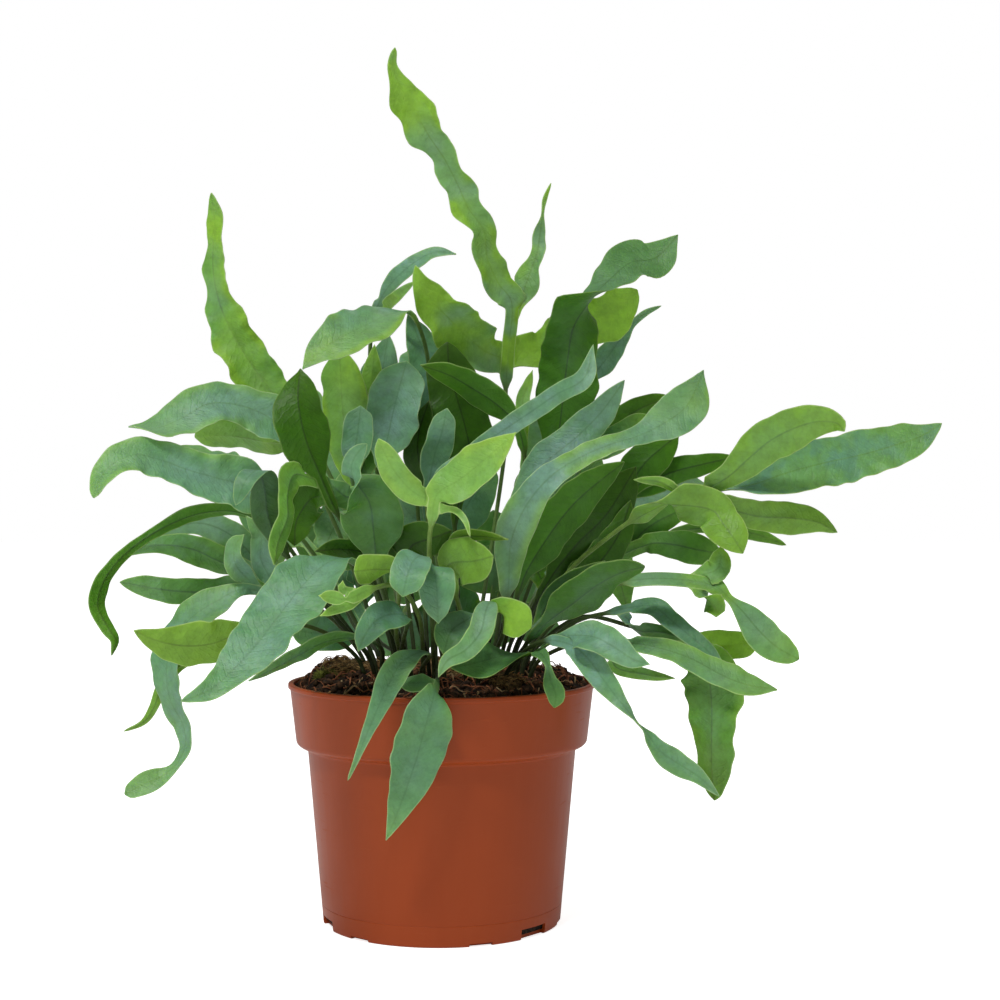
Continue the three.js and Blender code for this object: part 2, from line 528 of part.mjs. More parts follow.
    faces: "F",
    lobes: [
      { at: 0.75, path: [[-39, 129, -92], [-39, 132.5, -92]], half: 1.8, faces: "F" },
      { at: 0.6, path: [[-42, 121, -92], [-48, 118.5, -95]], half: 2.3, faces: "F" },
    ],
  },
  {
    name: "frond_rear_narrow", tone: "glaucous", root: [18, 26], stem: [[38, 150, 88], [52, 196, 80]],
    blade: [[58, 211, 72], [64, 219, 67], [69, 226, 64], [74, 232.5, 61], [80, 237.5, 60],
      [86, 240.2, 60]], widths: [2, 4.4, 4.8, 3.2, 1.5, 1.3, 0.5], faces: "FFR FFR",
  },
  {
    name: "frond_rear_left", tone: "green", root: [-14, 26], step: 7, stem: [[-20, 118, 44]],
    rachis: [[-23, 130, 50], [-29, 150, 62], [-36, 168, 76]],
    blade: [[-42, 180, 88], [-48, 191, 100], [-53, 202, 112], [-56, 212, 124]], half: 9, faces: "FFL FU",
    lobes: [
      { at: 0.2, path: [[-15, 131, 48], [-8, 138, 46], [-3, 147, 44]], round: 8, faces: "F" },
      { at: 0.4, path: [[-34, 144, 60], [-45, 146, 62], [-58, 147, 64]], round: 8.5, faces: "F" },
      { at: 0.8, path: [[-26, 168, 84], [-22, 180, 90]], round: 7.5, faces: "F" },
    ],
  },
  {
    name: "frond_rear_tall", tone: "glaucous", root: [0, 28], step: 7, stem: [[-1, 108, 40]],
    rachis: [[-1, 117, 46], [-3, 138, 56], [-6, 160, 66], [-8, 178, 72]],
    blade: [[-9, 196, 76], [-8, 212, 82], [-3, 226, 92], [5, 231, 104], [12, 225, 116]],
    widths: [3, 6, 8.6, 9.6, 9.2, 7.6, 5, 1], faces: "FFR FU U BU",
    lobes: [
      { at: 0.12, path: [[-9, 115, 62], [-19, 112, 68], [-31, 109, 72]], round: 9.5, faces: "F" },
      { at: 0.3, path: [[8, 118, 62], [17, 114, 66], [28, 110, 68]], round: 9.5, faces: "F" },
      { at: 0.6, path: [[-14, 160, 68], [-18, 172, 74]], round: 8, faces: "F" },
      { at: 0.7, path: [[6, 158, 74], [13, 168, 78], [16, 180, 82]], round: 9, faces: "F" },
    ],
  },
  {
    name: "frond_rear_right", tone: "green", root: [14, 28], step: 7, stem: [[18, 114, 42]],
    rachis: [[20, 126, 48], [26, 146, 60], [33, 166, 74]],
    blade: [[39, 182, 86], [44, 198, 96], [48, 213, 106], [51, 227, 116]], half: 9, faces: "FFR FU",
    lobes: [
      { at: 0.2, path: [[31, 131, 52], [41, 135, 54], [50, 142, 56]], round: 8.5, faces: "F" },
      { at: 0.4, path: [[17, 136, 50], [11, 138, 50], [4, 144, 50]], round: 9, faces: "F" },
      { at: 0.8, path: [[44, 164, 66], [54, 172, 62], [62, 182, 58]], round: 8, faces: "F" },
    ],
  },
  {
    name: "frond_rear_far_right", tone: "glaucous", root: [24, 22], step: 7, stem: [[32, 118, 32]],
    rachis: [[38, 129, 38], [48, 144, 48], [58, 153, 58]],
    blade: [[68, 161, 70], [80, 168, 84], [94, 171, 98], [107, 168, 114]], half: 9, faces: "FU",
    lobes: [
      { at: 0.5, path: [[42, 154, 54], [36, 166, 58], [34, 178, 62]], round: 8, faces: "F" },
      { at: 0.7, path: [[62, 144, 50], [74, 146, 46]], half: 6, faces: "F" },
    ],
  },
  {
    name: "frond_rear_far_left", tone: "green", root: [-24, 20], step: 7, stem: [[-34, 114, 32]],
    rachis: [[-40, 126, 38], [-50, 143, 48], [-60, 154, 58]],
    blade: [[-71, 164, 68], [-83, 173, 80], [-96, 178, 93], [-109, 180, 104], [-120, 179, 114]],
    half: 8.6, faces: "FU",
    lobes: [
      { at: 0.25, path: [[-54, 128, 32], [-64, 130, 28], [-73, 134, 24]], half: 7.5, faces: "F" },
      { at: 0.5, path: [[-42, 154, 54], [-36, 166, 58], [-34, 178, 62]], round: 8, faces: "F" },
      { at: 0.75, path: [[-66, 150, 50], [-74, 158, 46], [-80, 168, 44]], half: 6.5, faces: "F" },
    ],
  },
  {
    name: "frond_rear_low_left", tone: "glaucous", root: [-14, 34], step: 7, stem: [[-24, 108, 50]],
    rachis: [[-30, 116, 60], [-38, 132, 78]],
    blade: [[-45, 145, 94], [-53, 152, 108], [-62, 151, 122], [-68, 141, 134], [-72, 127, 142]],
    half: 9.6, faces: "FU FU U BU",
    lobes: [
      { at: 0.3, path: [[-42, 113, 58], [-52, 112, 56], [-60, 114, 54]], half: 8, faces: "F" },
      { at: 0.6, path: [[-28, 136, 84], [-22, 148, 90], [-18, 160, 94]], round: 9, faces: "F" },
    ],
  },
  {
    name: "frond_rear_low_right", tone: "green", root: [12, 36], step: 7, stem: [[22, 108, 52]],
    rachis: [[28, 116, 62], [36, 130, 78]],
    blade: [[44, 142, 94], [53, 148, 108], [62, 145, 122], [69, 134, 134], [73, 120, 142]], half: 9.6,
    faces: "FU FU U BU",
    lobes: [
      { at: 0.3, path: [[38, 114, 62], [47, 113, 60]], half: 7.5, faces: "F" },
      { at: 0.6, path: [[26, 136, 86], [22, 148, 92], [20, 160, 96]], round: 9, faces: "F" },
    ],
  },
];

// ---------------------------------------------------------------- points, curves and facings

/** How much larger a thing at that depth is than it is seen. */
function reachOf(depth) {
  return (depth - EYE.y) / -EYE.y;
}

/** The true place of a point that is seen at [across, up] with that depth. */
function seen([across, up, depth]) {
  const reach = reachOf(depth);
  return new THREE.Vector3(EYE.x + (across - EYE.x) * reach, depth, EYE.z + (up - EYE.z) * reach);
}

const LETTERS = { F: [0, -1, 0], B: [0, 1, 0], L: [-1, 0, 0], R: [1, 0, 0], U: [0, 0, 1], D: [0, 0, -1] };

/** The directions that a string such as "F FU U" names. */
function facings(words) {
  return words.split(" ").map((word) => {
    const sum = new THREE.Vector3();
    for (const letter of word) sum.add(new THREE.Vector3(...LETTERS[letter]));
    return sum.normalize();
  });
}

/** The direction at a share of the way along a list of them. */
function between(list, share) {
  const place = Math.min(Math.max(share, 0), 1) * (list.length - 1);
  const low = Math.min(Math.floor(place), Math.max(list.length - 2, 0));
  return list[low].clone().lerp(list[low + 1] ?? list[low], place - low);
}

/** A smooth curve through points, read by its share of length. */
function courseThrough(points) {
  const curve = new THREE.CatmullRomCurve3(points, false, "centripetal");
  curve.arcLengthDivisions = CURVE_SAMPLES;
  const lengths = curve.getLengths(CURVE_SAMPLES);
  const length = lengths[CURVE_SAMPLES];
  const atKnot = (k) => lengths[Math.round((CURVE_SAMPLES * k) / (points.length - 1))] / length;
  return { curve, length, atKnot };
}

/** Rises smoothly from 0 to 1 as x goes from 0 to 1. */
function ease(x) {
  const s = Math.min(Math.max(x, 0), 1);
  return s * s * (3 - 2 * s);
}

/** The half widths of a blade or lobe as a smooth curve, whose x is the share of its length. */
function widthCurve({ half, round, widths }) {
  const plain = round ? ROUNDED.map((share) => share * round) : POINTED.map((share) => share * half);
  const knots = widths ?? plain;
  return new THREE.SplineCurve(knots.map((width, i) => new THREE.Vector2(i / (knots.length - 1), width)));
}

/** The true half width at share t of a blade or lobe, from the one that is seen as it lies in that frame. */
function halfWidth(curve, t, { centre, across }) {
  const shown = Math.max(Math.hypot(across.x, across.z), BLADE.leastShown);
  return Math.max((curve.getPoint(t).y * reachOf(centre.y)) / shown, BLADE.tipHalf);
}

/** How a margin waves at share t: shares of the half width outwards and towards the upper side. */
function margin(t, length, { wave = WAVE.share, pitch = WAVE.pitch }, phase, side) {
  const turns = (2 * Math.PI * t * length) / pitch;
  const fade = Math.sqrt(Math.sin(Math.PI * Math.min(Math.max(t, 0), 1)));
  return {
    out: 1 + wave * WAVE.width * fade * Math.sin(turns + phase + 1.9 * side),
    lift: BLADE.cup + wave * WAVE.lift * fade * Math.sin(0.8 * turns + 1.7 * phase + 2.6 * side),
  };
}

// ---------------------------------------------------------------- a frond as a thin sheet, then as a solid

/** Adds a row of three places, left margin, midrib and right margin, and gives their numbers. */
function addRow(sheet, { centre, lateral, normal, half, wave, midThick, edgeThick }) {
  return [-1, 0, 1].map((side) => {
    const edge = side && wave(side);
    const place = centre.clone();
    if (side) place.addScaledVector(lateral, side * edge.out).addScaledVector(normal, edge.lift * half);
    sheet.places.push(place);
    sheet.lifts.push(normal.clone().multiplyScalar(side ? edgeThick : midThick));
    return sheet.places.length - 1;
  });
}

/** Two triangles on each side of the midrib between two rows, facing the upper side. */
function joinRows(sheet, low, high) {
  const [a, b, c] = low;
  const [d, e, f] = high;
  sheet.triangles.push([a, b, e], [a, e, d], [b, c, e], [c, f, e]);
}

/** The tangent, upper side and rightward direction of a course at share u. */
function frameAt(course, u, face) {
  const tangent = course.curve.getTangentAt(u);
  const across = tangent.clone().cross(face).normalize();
  const normal = across.clone().cross(tangent).normalize();
  return { centre: course.curve.getPointAt(u), tangent, across, normal };
}

/** Where a stalk starts in the soil and where it comes clear of it, in line with the stalk's lean. */
function stalkFoot({ root: [x, y], stem }) {
  const foot = new THREE.Vector3(x, y, soilHeight(x, y) - STALK.sunk);
  const next = seen(stem[0]);
  const height = Math.min(STALK.collarHeight, (next.z + soilHeight(x, y)) / 2);
  const share = (STALK.lean * (height - foot.z)) / Math.max(next.z - foot.z, height - foot.z);
  const collar = foot.clone().lerp(next, share).setZ(height);
  return { foot, collar };
}

/** The stalk, rachis and end blade of a frond as one strip. Gives its rows on the rachis, for the lobes. */
function addAxis(sheet, frond, phase) {
  const { foot, collar } = stalkFoot(frond);
  const rachis = (frond.rachis ?? []).map(seen);
  const stalkKnots = [foot, foot.clone().lerp(collar, 0.5), collar, ...frond.stem.map(seen)];
  const course = courseThrough([...stalkKnots, ...rachis, ...frond.blade.map(seen)]);
  const bladeStart = course.atKnot(stalkKnots.length + Math.max(rachis.length - 1, 0));
  const rachisStart = rachis.length ? course.atKnot(stalkKnots.length) : bladeStart;
  const bladeFaces = facings(frond.faces);
  const rachisFaces = frond.rachisFaces ? facings(frond.rachisFaces) : bladeFaces.slice(0, 1);
  const wing = frond.wing ?? RACHIS.wing;
  const rows = [];
  const addAt = (u, face, halfOf, wave, midThick, edgeThick) => {
    const frame = frameAt(course, u, face);
    const half = halfOf(frame);
    const lateral = frame.across.clone().multiplyScalar(half);
    rows.push({ ...frame, ids: addRow(sheet, { ...frame, lateral, half, wave, midThick, edgeThick }) });
  };
  const still = () => ({ out: 1, lift: 0 });
  const addStalkRow = (u) => addAt(u, rachisFaces[0], () => STALK.half, still, STALK.thick, STALK.edgeThick);
  addStalkRow(0);
  const collarShare = course.atKnot(2);
  const stalkStep = (rachisStart - collarShare) / STALK.rows;
  for (let i = 0; i < STALK.rows; i++) addStalkRow(collarShare + stalkStep * i);
  const rachisLength = (bladeStart - rachisStart) * course.length;
  const rachisStep = frond.step ?? RACHIS.rowStep;
  const rachisRows = rachis.length ? Math.max(RACHIS.leastRows, Math.round(rachisLength / rachisStep)) : 0;
  const firstRachisRow = rows.length;
  for (let i = 0; i < rachisRows; i++) {
    const share = i / rachisRows;
    const grown = ease((i + 1) / 2);
    const half = wing * grown + STALK.half * (1 - grown);
    const u = rachisStart + (bladeStart - rachisStart) * share;
    addAt(u, between(rachisFaces, share), () => half, still, BLADE.midThick, BLADE.edgeThick);
  }
  const bladeLength = (1 - bladeStart) * course.length;
  const bladeRows = Math.max(BLADE.leastRows, Math.round(bladeLength / rowStepOf(frond)));
  const widths = widthCurve(frond);
  for (let i = 0; i <= bladeRows; i++) {
    const t = i / bladeRows;
    const u = bladeStart + (1 - bladeStart) * t;
    const halfOf = (frame) => halfWidth(widths, t, frame);
    const wave = (side) => margin(t, bladeLength, frond, phase, side);
    addAt(u, between(bladeFaces, t), halfOf, wave, BLADE.midThick, BLADE.edgeThick);
  }
  for (let i = 1; i < rows.length; i++) joinRows(sheet, rows[i - 1].ids, rows[i].ids);
  return { rows, firstRachisRow, rachisRows };
}

/** How far apart the rows of a blade are: closer where it is ruffled. */
function rowStepOf({ pitch = WAVE.pitch }) {
  return Math.min(BLADE.rowStep, pitch * BLADE.rowsPerWave);
}

/** Joins a lobe's base, three or more places on a margin of the rachis, to its first row. */
function joinBase(sheet, base, row) {
  const middle = (base.length - 1) / 2;
  for (let i = 1; i < middle; i++) sheet.triangles.push([base[i - 1], base[i], row[0]]);
  joinRows(sheet, base.slice(middle - 1, middle + 2), row);
  for (let i = middle + 2; i < base.length; i++) sheet.triangles.push([base[i - 1], base[i], row[2]]);
}

/** A lobe, whose base is the stretch of the rachis's margin where it stands. */
function addLobe(sheet, axis, frond, lobe, phase) {
  const spread = lobe.spread ?? 1;
  const step = Math.min(Math.max(Math.round(lobe.at * axis.rachisRows), spread), axis.rachisRows - spread);
  const middleRow = axis.firstRachisRow + step;
  const row = axis.rows[middleRow];
  const onRight = seen(lobe.path[0]).sub(row.centre).dot(row.across) > 0;
  const base = [];
  for (let i = -spread; i <= spread; i++) {
    const { ids } = axis.rows[middleRow + (onRight ? -i : i)];
    base.push(ids[onRight ? 2 : 0]);
  }
  const [left, middle, right] = [0, spread, 2 * spread].map((i) => sheet.places[base[i]]);
  const baseHalf = right.clone().sub(left).multiplyScalar(0.5);
  const course = courseThrough([middle.clone(), ...lobe.path.map(seen)]);
  const faces = [row.normal, ...facings(lobe.faces)];
  const widths = widthCurve(lobe);
  const rowCount = Math.max(BLADE.leastRows - 1, Math.round(course.length / rowStepOf(frond)));
  const { midThick, edgeThick } = BLADE;
  let last = base;
  for (let i = 1; i <= rowCount; i++) {
    const t = i / rowCount;
    const frame = frameAt(course, t, between(faces, t * 1.5));
    const { centre, across, normal } = frame;
    const half = halfWidth(widths, t, frame);
    const lateral = baseHalf.clone().lerp(across.clone().multiplyScalar(half), ease(t * 4));
    const wave = (side) => margin(t, course.length, frond, phase, side);
    const ids = addRow(sheet, { centre, lateral, normal, half, wave, midThick, edgeThick });
    if (i === 1) joinBase(sheet, last, ids);
    else joinRows(sheet, last, ids);
    last = ids;
  }
}

/** The solid between the sheet raised and the sheet lowered, with a wall along its open edges. */
function thicken(sheet) {
  const count = sheet.places.length;
  const positions = [];
  for (const sign of [1, -1]) {
    for (let i = 0; i < count; i++) {
      const place = sheet.places[i].clone().addScaledVector(sheet.lifts[i], sign);
      positions.push(...place.toArray());
    }
  }
  const triangles = [];
  const edges = new Set();
  for (const [a, b, c] of sheet.triangles) {
    triangles.push(a, b, c, c + count, b + count, a + count);
    for (const [p, q] of [[a, b], [b, c], [c, a]]) edges.add(`${p} ${q}`);
  }
  for (const edge of edges) {
    const [p, q] = edge.split(" ").map(Number);
    if (edges.has(`${q} ${p}`)) continue;
    triangles.push(q, p, p + count, q, p + count, q + count);
  }
  const geometry = new THREE.BufferGeometry();
  geometry.setAttribute("position", new THREE.Float32BufferAttribute(positions, 3));
  geometry.setIndex(triangles);
  return geometry;
}

/** A whole frond: stalk, rachis, end blade and lobes in one closed body. */
function frondGeometry(frond, number) {
  const sheet = { places: [], lifts: [], triangles: [] };
  const axis = addAxis(sheet, frond, number * 2.4);
  (frond.lobes ?? []).forEach((lobe, k) => addLobe(sheet, axis, frond, lobe, number * 2.4 + k + 1));
  return thicken(sheet);
}

// ---------------------------------------------------------------- joining and cutting

function solidOf(geometry) {
  const bare = new THREE.BufferGeometry().setAttribute("position", geometry.getAttribute("position"));
  if (geometry.index) bare.setIndex(geometry.index);
  const merged = mergeVertices(bare, 1e-4);
  const vertProperties = new Float32Array(merged.attributes.position.array);
  const triVerts = new Uint32Array(merged.index.array);
  return new wasm.Manifold(new wasm.Mesh({ numProp: 3, vertProperties, triVerts }));
}

/** A solid as geometry, without the vertices that lie on flat faces and straight edges. */
function geometryOf(solid) {
  const { vertProperties, triVerts, numProp } = solid.asOriginal().simplify(FLATNESS).getMesh();
  const geometry = new THREE.BufferGeometry();
  const positions = new Float32Array((vertProperties.length / numProp) * 3);
  for (let i = 0; i < positions.length / 3; i++) {
    positions.set(vertProperties.subarray(i * numProp, i * numProp + 3), i * 3);
  }
  geometry.setAttribute("position", new THREE.BufferAttribute(positions, 3));
  geometry.setIndex(new THREE.BufferAttribute(new Uint32Array(triVerts), 1));
  return geometry;
}

// ---------------------------------------------------------------- pot

/** A lathe about +Z, from [radius, height] pairs. */
function turned(profile, sides) {
  const points = profile.map(([radius, height]) => new THREE.Vector2(radius, height));
  return new THREE.LatheGeometry(points, sides).rotateX(Math.PI / 2);
}

/** A thin-walled pot with a rim band, a flat floor and drain notches where the floor meets the wall. */
function potGeometry() {
  const { height, wall } = POT;
  const bandFoot = height - POT.bandHeight;
  const profile = [
    [0, 0],
    [POT.footRadius - 0.5, 0],
    [POT.footRadius, 1],
    [POT.bodyTopRadius, bandFoot - 1.5],
    [POT.bandFootRadius - 1, bandFoot - 0.6],
    [POT.bandFootRadius, bandFoot + 0.8],
    [POT.bandTopRadius, height - 2],
    [POT.rimRadius, height - 1.6],
    [POT.rimRadius, height - 0.3],
    [POT.rimRadius - 0.5, height],
    [POT.bandTopRadius - wall, height - 0.4],
    [POT.bandFootRadius - wall, bandFoot + 1.6],
    [POT.bodyTopRadius - wall + 0.2, bandFoot],
    [POT.footRadius + 0.2 - wall, wall],
    [0, wall],
  ];
  let pot = solidOf(turned(profile, POT.sides));
  for (const { turns, width, height: high } of [NOTCH.tall, NOTCH.low]) {
    for (const turn of turns) {
      const notch = new THREE.BoxGeometry(width, NOTCH.depth, 2 * high).translate(0, -POT.footRadius, 0);
      pot = pot.subtract(solidOf(notch.rotateZ(THREE.MathUtils.degToRad(turn))));
    }
  }
  return geometryOf(pot);
}

// ---------------------------------------------------------------- soil and rhizome

/** The height of the soil at a place in plan: a low mound with two banks and crumbs of peat. */
function soilHeight(x, y) {
  const reach = Math.hypot(x, y) / POT.rimRadius;
  const crumbs = Math.sin(0.31 * x + 1.1) * Math.cos(0.27 * y) + 0.6 * Math.sin(0.83 * x - 0.71 * y);
  const banks = SOIL.banks.reduce((sum, bank) => {
    const away = ((x - bank.x) / bank.across) ** 2 + ((y - bank.y) / bank.along) ** 2;
    return sum + bank.height * Math.exp(-away);
  }, 0);
  const inside = 1 - ease((reach - SOIL.level) / (1 - SOIL.level));
  return SOIL.edgeHeight + SOIL.mound * (1 - reach ** 2) + (SOIL.lump * crumbs + banks) * inside;
}

/** The soil's body: a plug that fills the pot a little clear of its walls, with a moulded top. */
function soilBody() {
  const bandFoot = POT.height - POT.bandHeight;
  const topRadius = POT.bandTopRadius - POT.wall - SOIL.gap - 0.3;
  const low = POT.wall + SOIL.gap;
  const profile = [
    [0, low],
    [POT.footRadius - POT.wall - SOIL.gap, low],
    [POT.bodyTopRadius - POT.wall - SOIL.gap - 0.1, bandFoot],
    [POT.bandFootRadius - POT.wall - SOIL.gap - 0.2, bandFoot + 2.2],
    [topRadius, SOIL.edgeHeight],
  ];
  for (let ring = 1; ring <= SOIL.rings; ring++) {
    profile.push([topRadius * (1 - ring / SOIL.rings), SOIL.edgeHeight]);
  }
  const body = turned(profile, SOIL.sides);
  const positions = body.attributes.position;
  for (let i = 0; i < positions.count; i++) {
    if (Math.abs(positions.getZ(i) - SOIL.edgeHeight) > 0.01) continue;
    const x = positions.getX(i);
    const y = positions.getY(i);
    if (Math.hypot(x, y) < topRadius - 0.5) positions.setZ(i, soilHeight(x, y));
  }
  return solidOf(body);
}

// The creeping rhizome's branches in plan, each from the crown outwards.
const BRANCHES = [
  [[4, 2], [-14, -2], [-30, -4], [-44, -10]],
  [[-4, -2], [10, -12], [22, -24], [30, -34]],
  [[0, 0], [14, 6], [28, 16], [36, 30]],
  [[0, 2], [-8, 14], [-18, 24], [-22, 38]],
];

/** A round-ended rod along each branch, half sunk in the soil. Grow makes it that much thicker. */
function rhizomeBody(grow) {
  const radius = RHIZOME.radius + grow;
  const ring = new THREE.Shape();
  for (let i = 0; i < RHIZOME.sides; i++) {
    const angle = (2 * Math.PI * (i + 0.5)) / RHIZOME.sides;
    ring[i ? "lineTo" : "moveTo"](radius * Math.cos(angle), radius * Math.sin(angle));
  }
  return BRANCHES.map((branch) => {
    const places = branch.map(([x, y]) => new THREE.Vector3(x, y, soilHeight(x, y) + 0.6));
    const path = new THREE.CatmullRomCurve3(places);
    const rod = new THREE.ExtrudeGeometry(ring, { steps: RHIZOME.steps, extrudePath: path });
    const end = places[places.length - 1];
    const knob = new THREE.SphereGeometry(radius * 1.08, 7, 4).translate(end.x, end.y, end.z);
    return solidOf(rod).add(solidOf(knob));
  }).reduce((whole, rod) => whole.add(rod));
}

/** The plain hole that a stalk stands in. */
function stalkHole(frond) {
  const { foot, collar } = stalkFoot(frond);
  const direction = collar.clone().sub(foot).normalize();
  const hole = new THREE.CylinderGeometry(HOLE.radius, HOLE.radius, HOLE.length, HOLE.sides);
  hole.translate(0, HOLE.length / 2 - HOLE.below, 0);
  hole.applyQuaternion(new THREE.Quaternion().setFromUnitVectors(new THREE.Vector3(0, 1, 0), direction));
  return solidOf(hole.translate(foot.x, foot.y, foot.z));
}

// ---------------------------------------------------------------- the assembly

const FINISHES = {
  pot: { color: 0x9c4a2c, roughness: 0.45, metalness: 0 },
  soil: { color: 0x2f1f16, roughness: 0.95, metalness: 0 },
  rhizome: { color: 0x6b5a2e, roughness: 0.9, metalness: 0 },
  glaucous: { color: 0x6f9a86, roughness: 0.6, metalness: 0 },
  green: { color: 0x5f8f4a, roughness: 0.55, metalness: 0 },
  young: { color: 0x86ad45, roughness: 0.5, metalness: 0 },
};

const plant = new THREE.Group();

function place(name, geometry, finish) {
  const mesh = new THREE.Mesh(geometry, new THREE.MeshStandardMaterial(FINISHES[finish]));
  mesh.name = name;
  plant.add(mesh);
}

const holes = FRONDS.map(stalkHole);
const drilled = (solid) => geometryOf(holes.reduce((whole, hole) => whole.subtract(hole), solid));
place("pot", potGeometry(), "pot");
place("soil", drilled(soilBody().subtract(rhizomeBody(RHIZOME.gap))), "soil");
place("rhizome", drilled(rhizomeBody(0)), "rhizome");
FRONDS.forEach((frond, i) => place(frond.name, frondGeometry(frond, i), frond.tone));

export default plant;
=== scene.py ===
"""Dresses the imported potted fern: finely shaped fronds, crumbly compost, scaly rhizomes and a moulded pot."""

import json
import logging
import math
from dataclasses import dataclass, field
from enum import Enum

import bpy
import numpy as np
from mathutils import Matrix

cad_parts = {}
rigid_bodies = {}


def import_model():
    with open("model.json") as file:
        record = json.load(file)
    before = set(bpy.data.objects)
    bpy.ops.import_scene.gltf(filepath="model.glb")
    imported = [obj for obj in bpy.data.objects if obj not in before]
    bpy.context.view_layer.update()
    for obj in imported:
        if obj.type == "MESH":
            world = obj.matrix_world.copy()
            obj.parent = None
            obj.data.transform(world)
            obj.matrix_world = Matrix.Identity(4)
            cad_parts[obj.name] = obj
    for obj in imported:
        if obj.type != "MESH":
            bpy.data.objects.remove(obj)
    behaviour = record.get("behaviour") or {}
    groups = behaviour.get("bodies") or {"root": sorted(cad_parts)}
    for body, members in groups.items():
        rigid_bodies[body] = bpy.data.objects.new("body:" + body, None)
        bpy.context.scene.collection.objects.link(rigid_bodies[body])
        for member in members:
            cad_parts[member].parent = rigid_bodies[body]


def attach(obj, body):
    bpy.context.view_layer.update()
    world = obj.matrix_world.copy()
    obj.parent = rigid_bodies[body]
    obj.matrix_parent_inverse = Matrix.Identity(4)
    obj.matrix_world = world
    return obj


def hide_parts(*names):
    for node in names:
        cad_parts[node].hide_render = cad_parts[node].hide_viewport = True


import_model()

log = logging.getLogger("potted_fern")

MM = 0.001

# The eye that the fronds are laid out for, in millimetres. It looks level along +Y.
EYE = np.array([22.7, -680.0, 164.0])
LENS, SENSOR = 62.4, 36.0

Point = tuple[float, ...]
Colour = tuple[float, float, float]
Array = np.ndarray
Fields = dict[str, Array]
Mesh, Material = bpy.types.Mesh, bpy.types.Material
Node, Socket, Tree = bpy.types.Node, bpy.types.NodeSocket, bpy.types.NodeTree


class Tone(Enum):
    """The leaf tissue of a frond, named by the record's material slot."""

    GLAUCOUS = "frond_glaucous"
    GREEN = "frond_green"
    YOUNG = "frond_young"


# The half widths of a pointed and of a round-ended blade from base to tip, as shares of the greatest.
POINTED = (0.32, 0.76, 0.97, 1, 0.94, 0.79, 0.53, 0.1)
ROUNDED = (0.4, 0.78, 0.95, 1, 0.99, 0.93, 0.76, 0.22)


@dataclass(frozen=True)
class Lobe:
    """A side lobe.

    `at` is its place on the rachis from 0 to 1, `path` its midrib as seen points with their depth,
    `half`, `round` or `widths` its seen half widths, `faces` where its upper side looks, `spread` how many
    steps of the rachis its base takes on either side, and `look` its own look.
    """

    at: float
    path: tuple[Point, ...]
    spread: int = 1
    half: float = 0.0
    round: float = 0.0
    widths: Point = ()
    faces: str = "F"
    look: Colour | None = None


@dataclass(frozen=True)
class Frond:
    """One frond, laid out as it is seen from in front.

    `root` is the stalk's foot in plan. `stem`, `rachis` and `blade` are points [across, up, depth]: where the
    eye sees them on the upright plane through the pot's axis, with their true depth. `half` is the greatest
    seen half width of a pointed end blade and `round` of a round-ended one, and `widths` are those of a
    shaped one, evenly spread. `faces` and `rachis_faces` say where the upper side looks, in letters: F front,
    B back, L left, R right, U up, D down. `wing` is the rachis's half width and `step` the length of its
    steps. `wave` is how much the margins wave and `pitch` how far apart the waves are. `look` is how fresh
    it is, how deep the painted shade is that darkens it, and how bloomed it is, each from 0 to 1 or a
    little more.
    """

    name: str
    tone: Tone
    root: Point
    stem: tuple[Point, ...]
    blade: tuple[Point, ...]
    faces: str
    rachis: tuple[Point, ...] = ()
    rachis_faces: str = ""
    half: float = 0.0
    round: float = 0.0
    widths: Point = ()
    wing: float = 2.2
    step: float = 3.4
    wave: float = 0.4
    pitch: float = 22.0
    look: Colour = (0.1, 0.3, 0.5)
    lobes: tuple[Lobe, ...] = ()
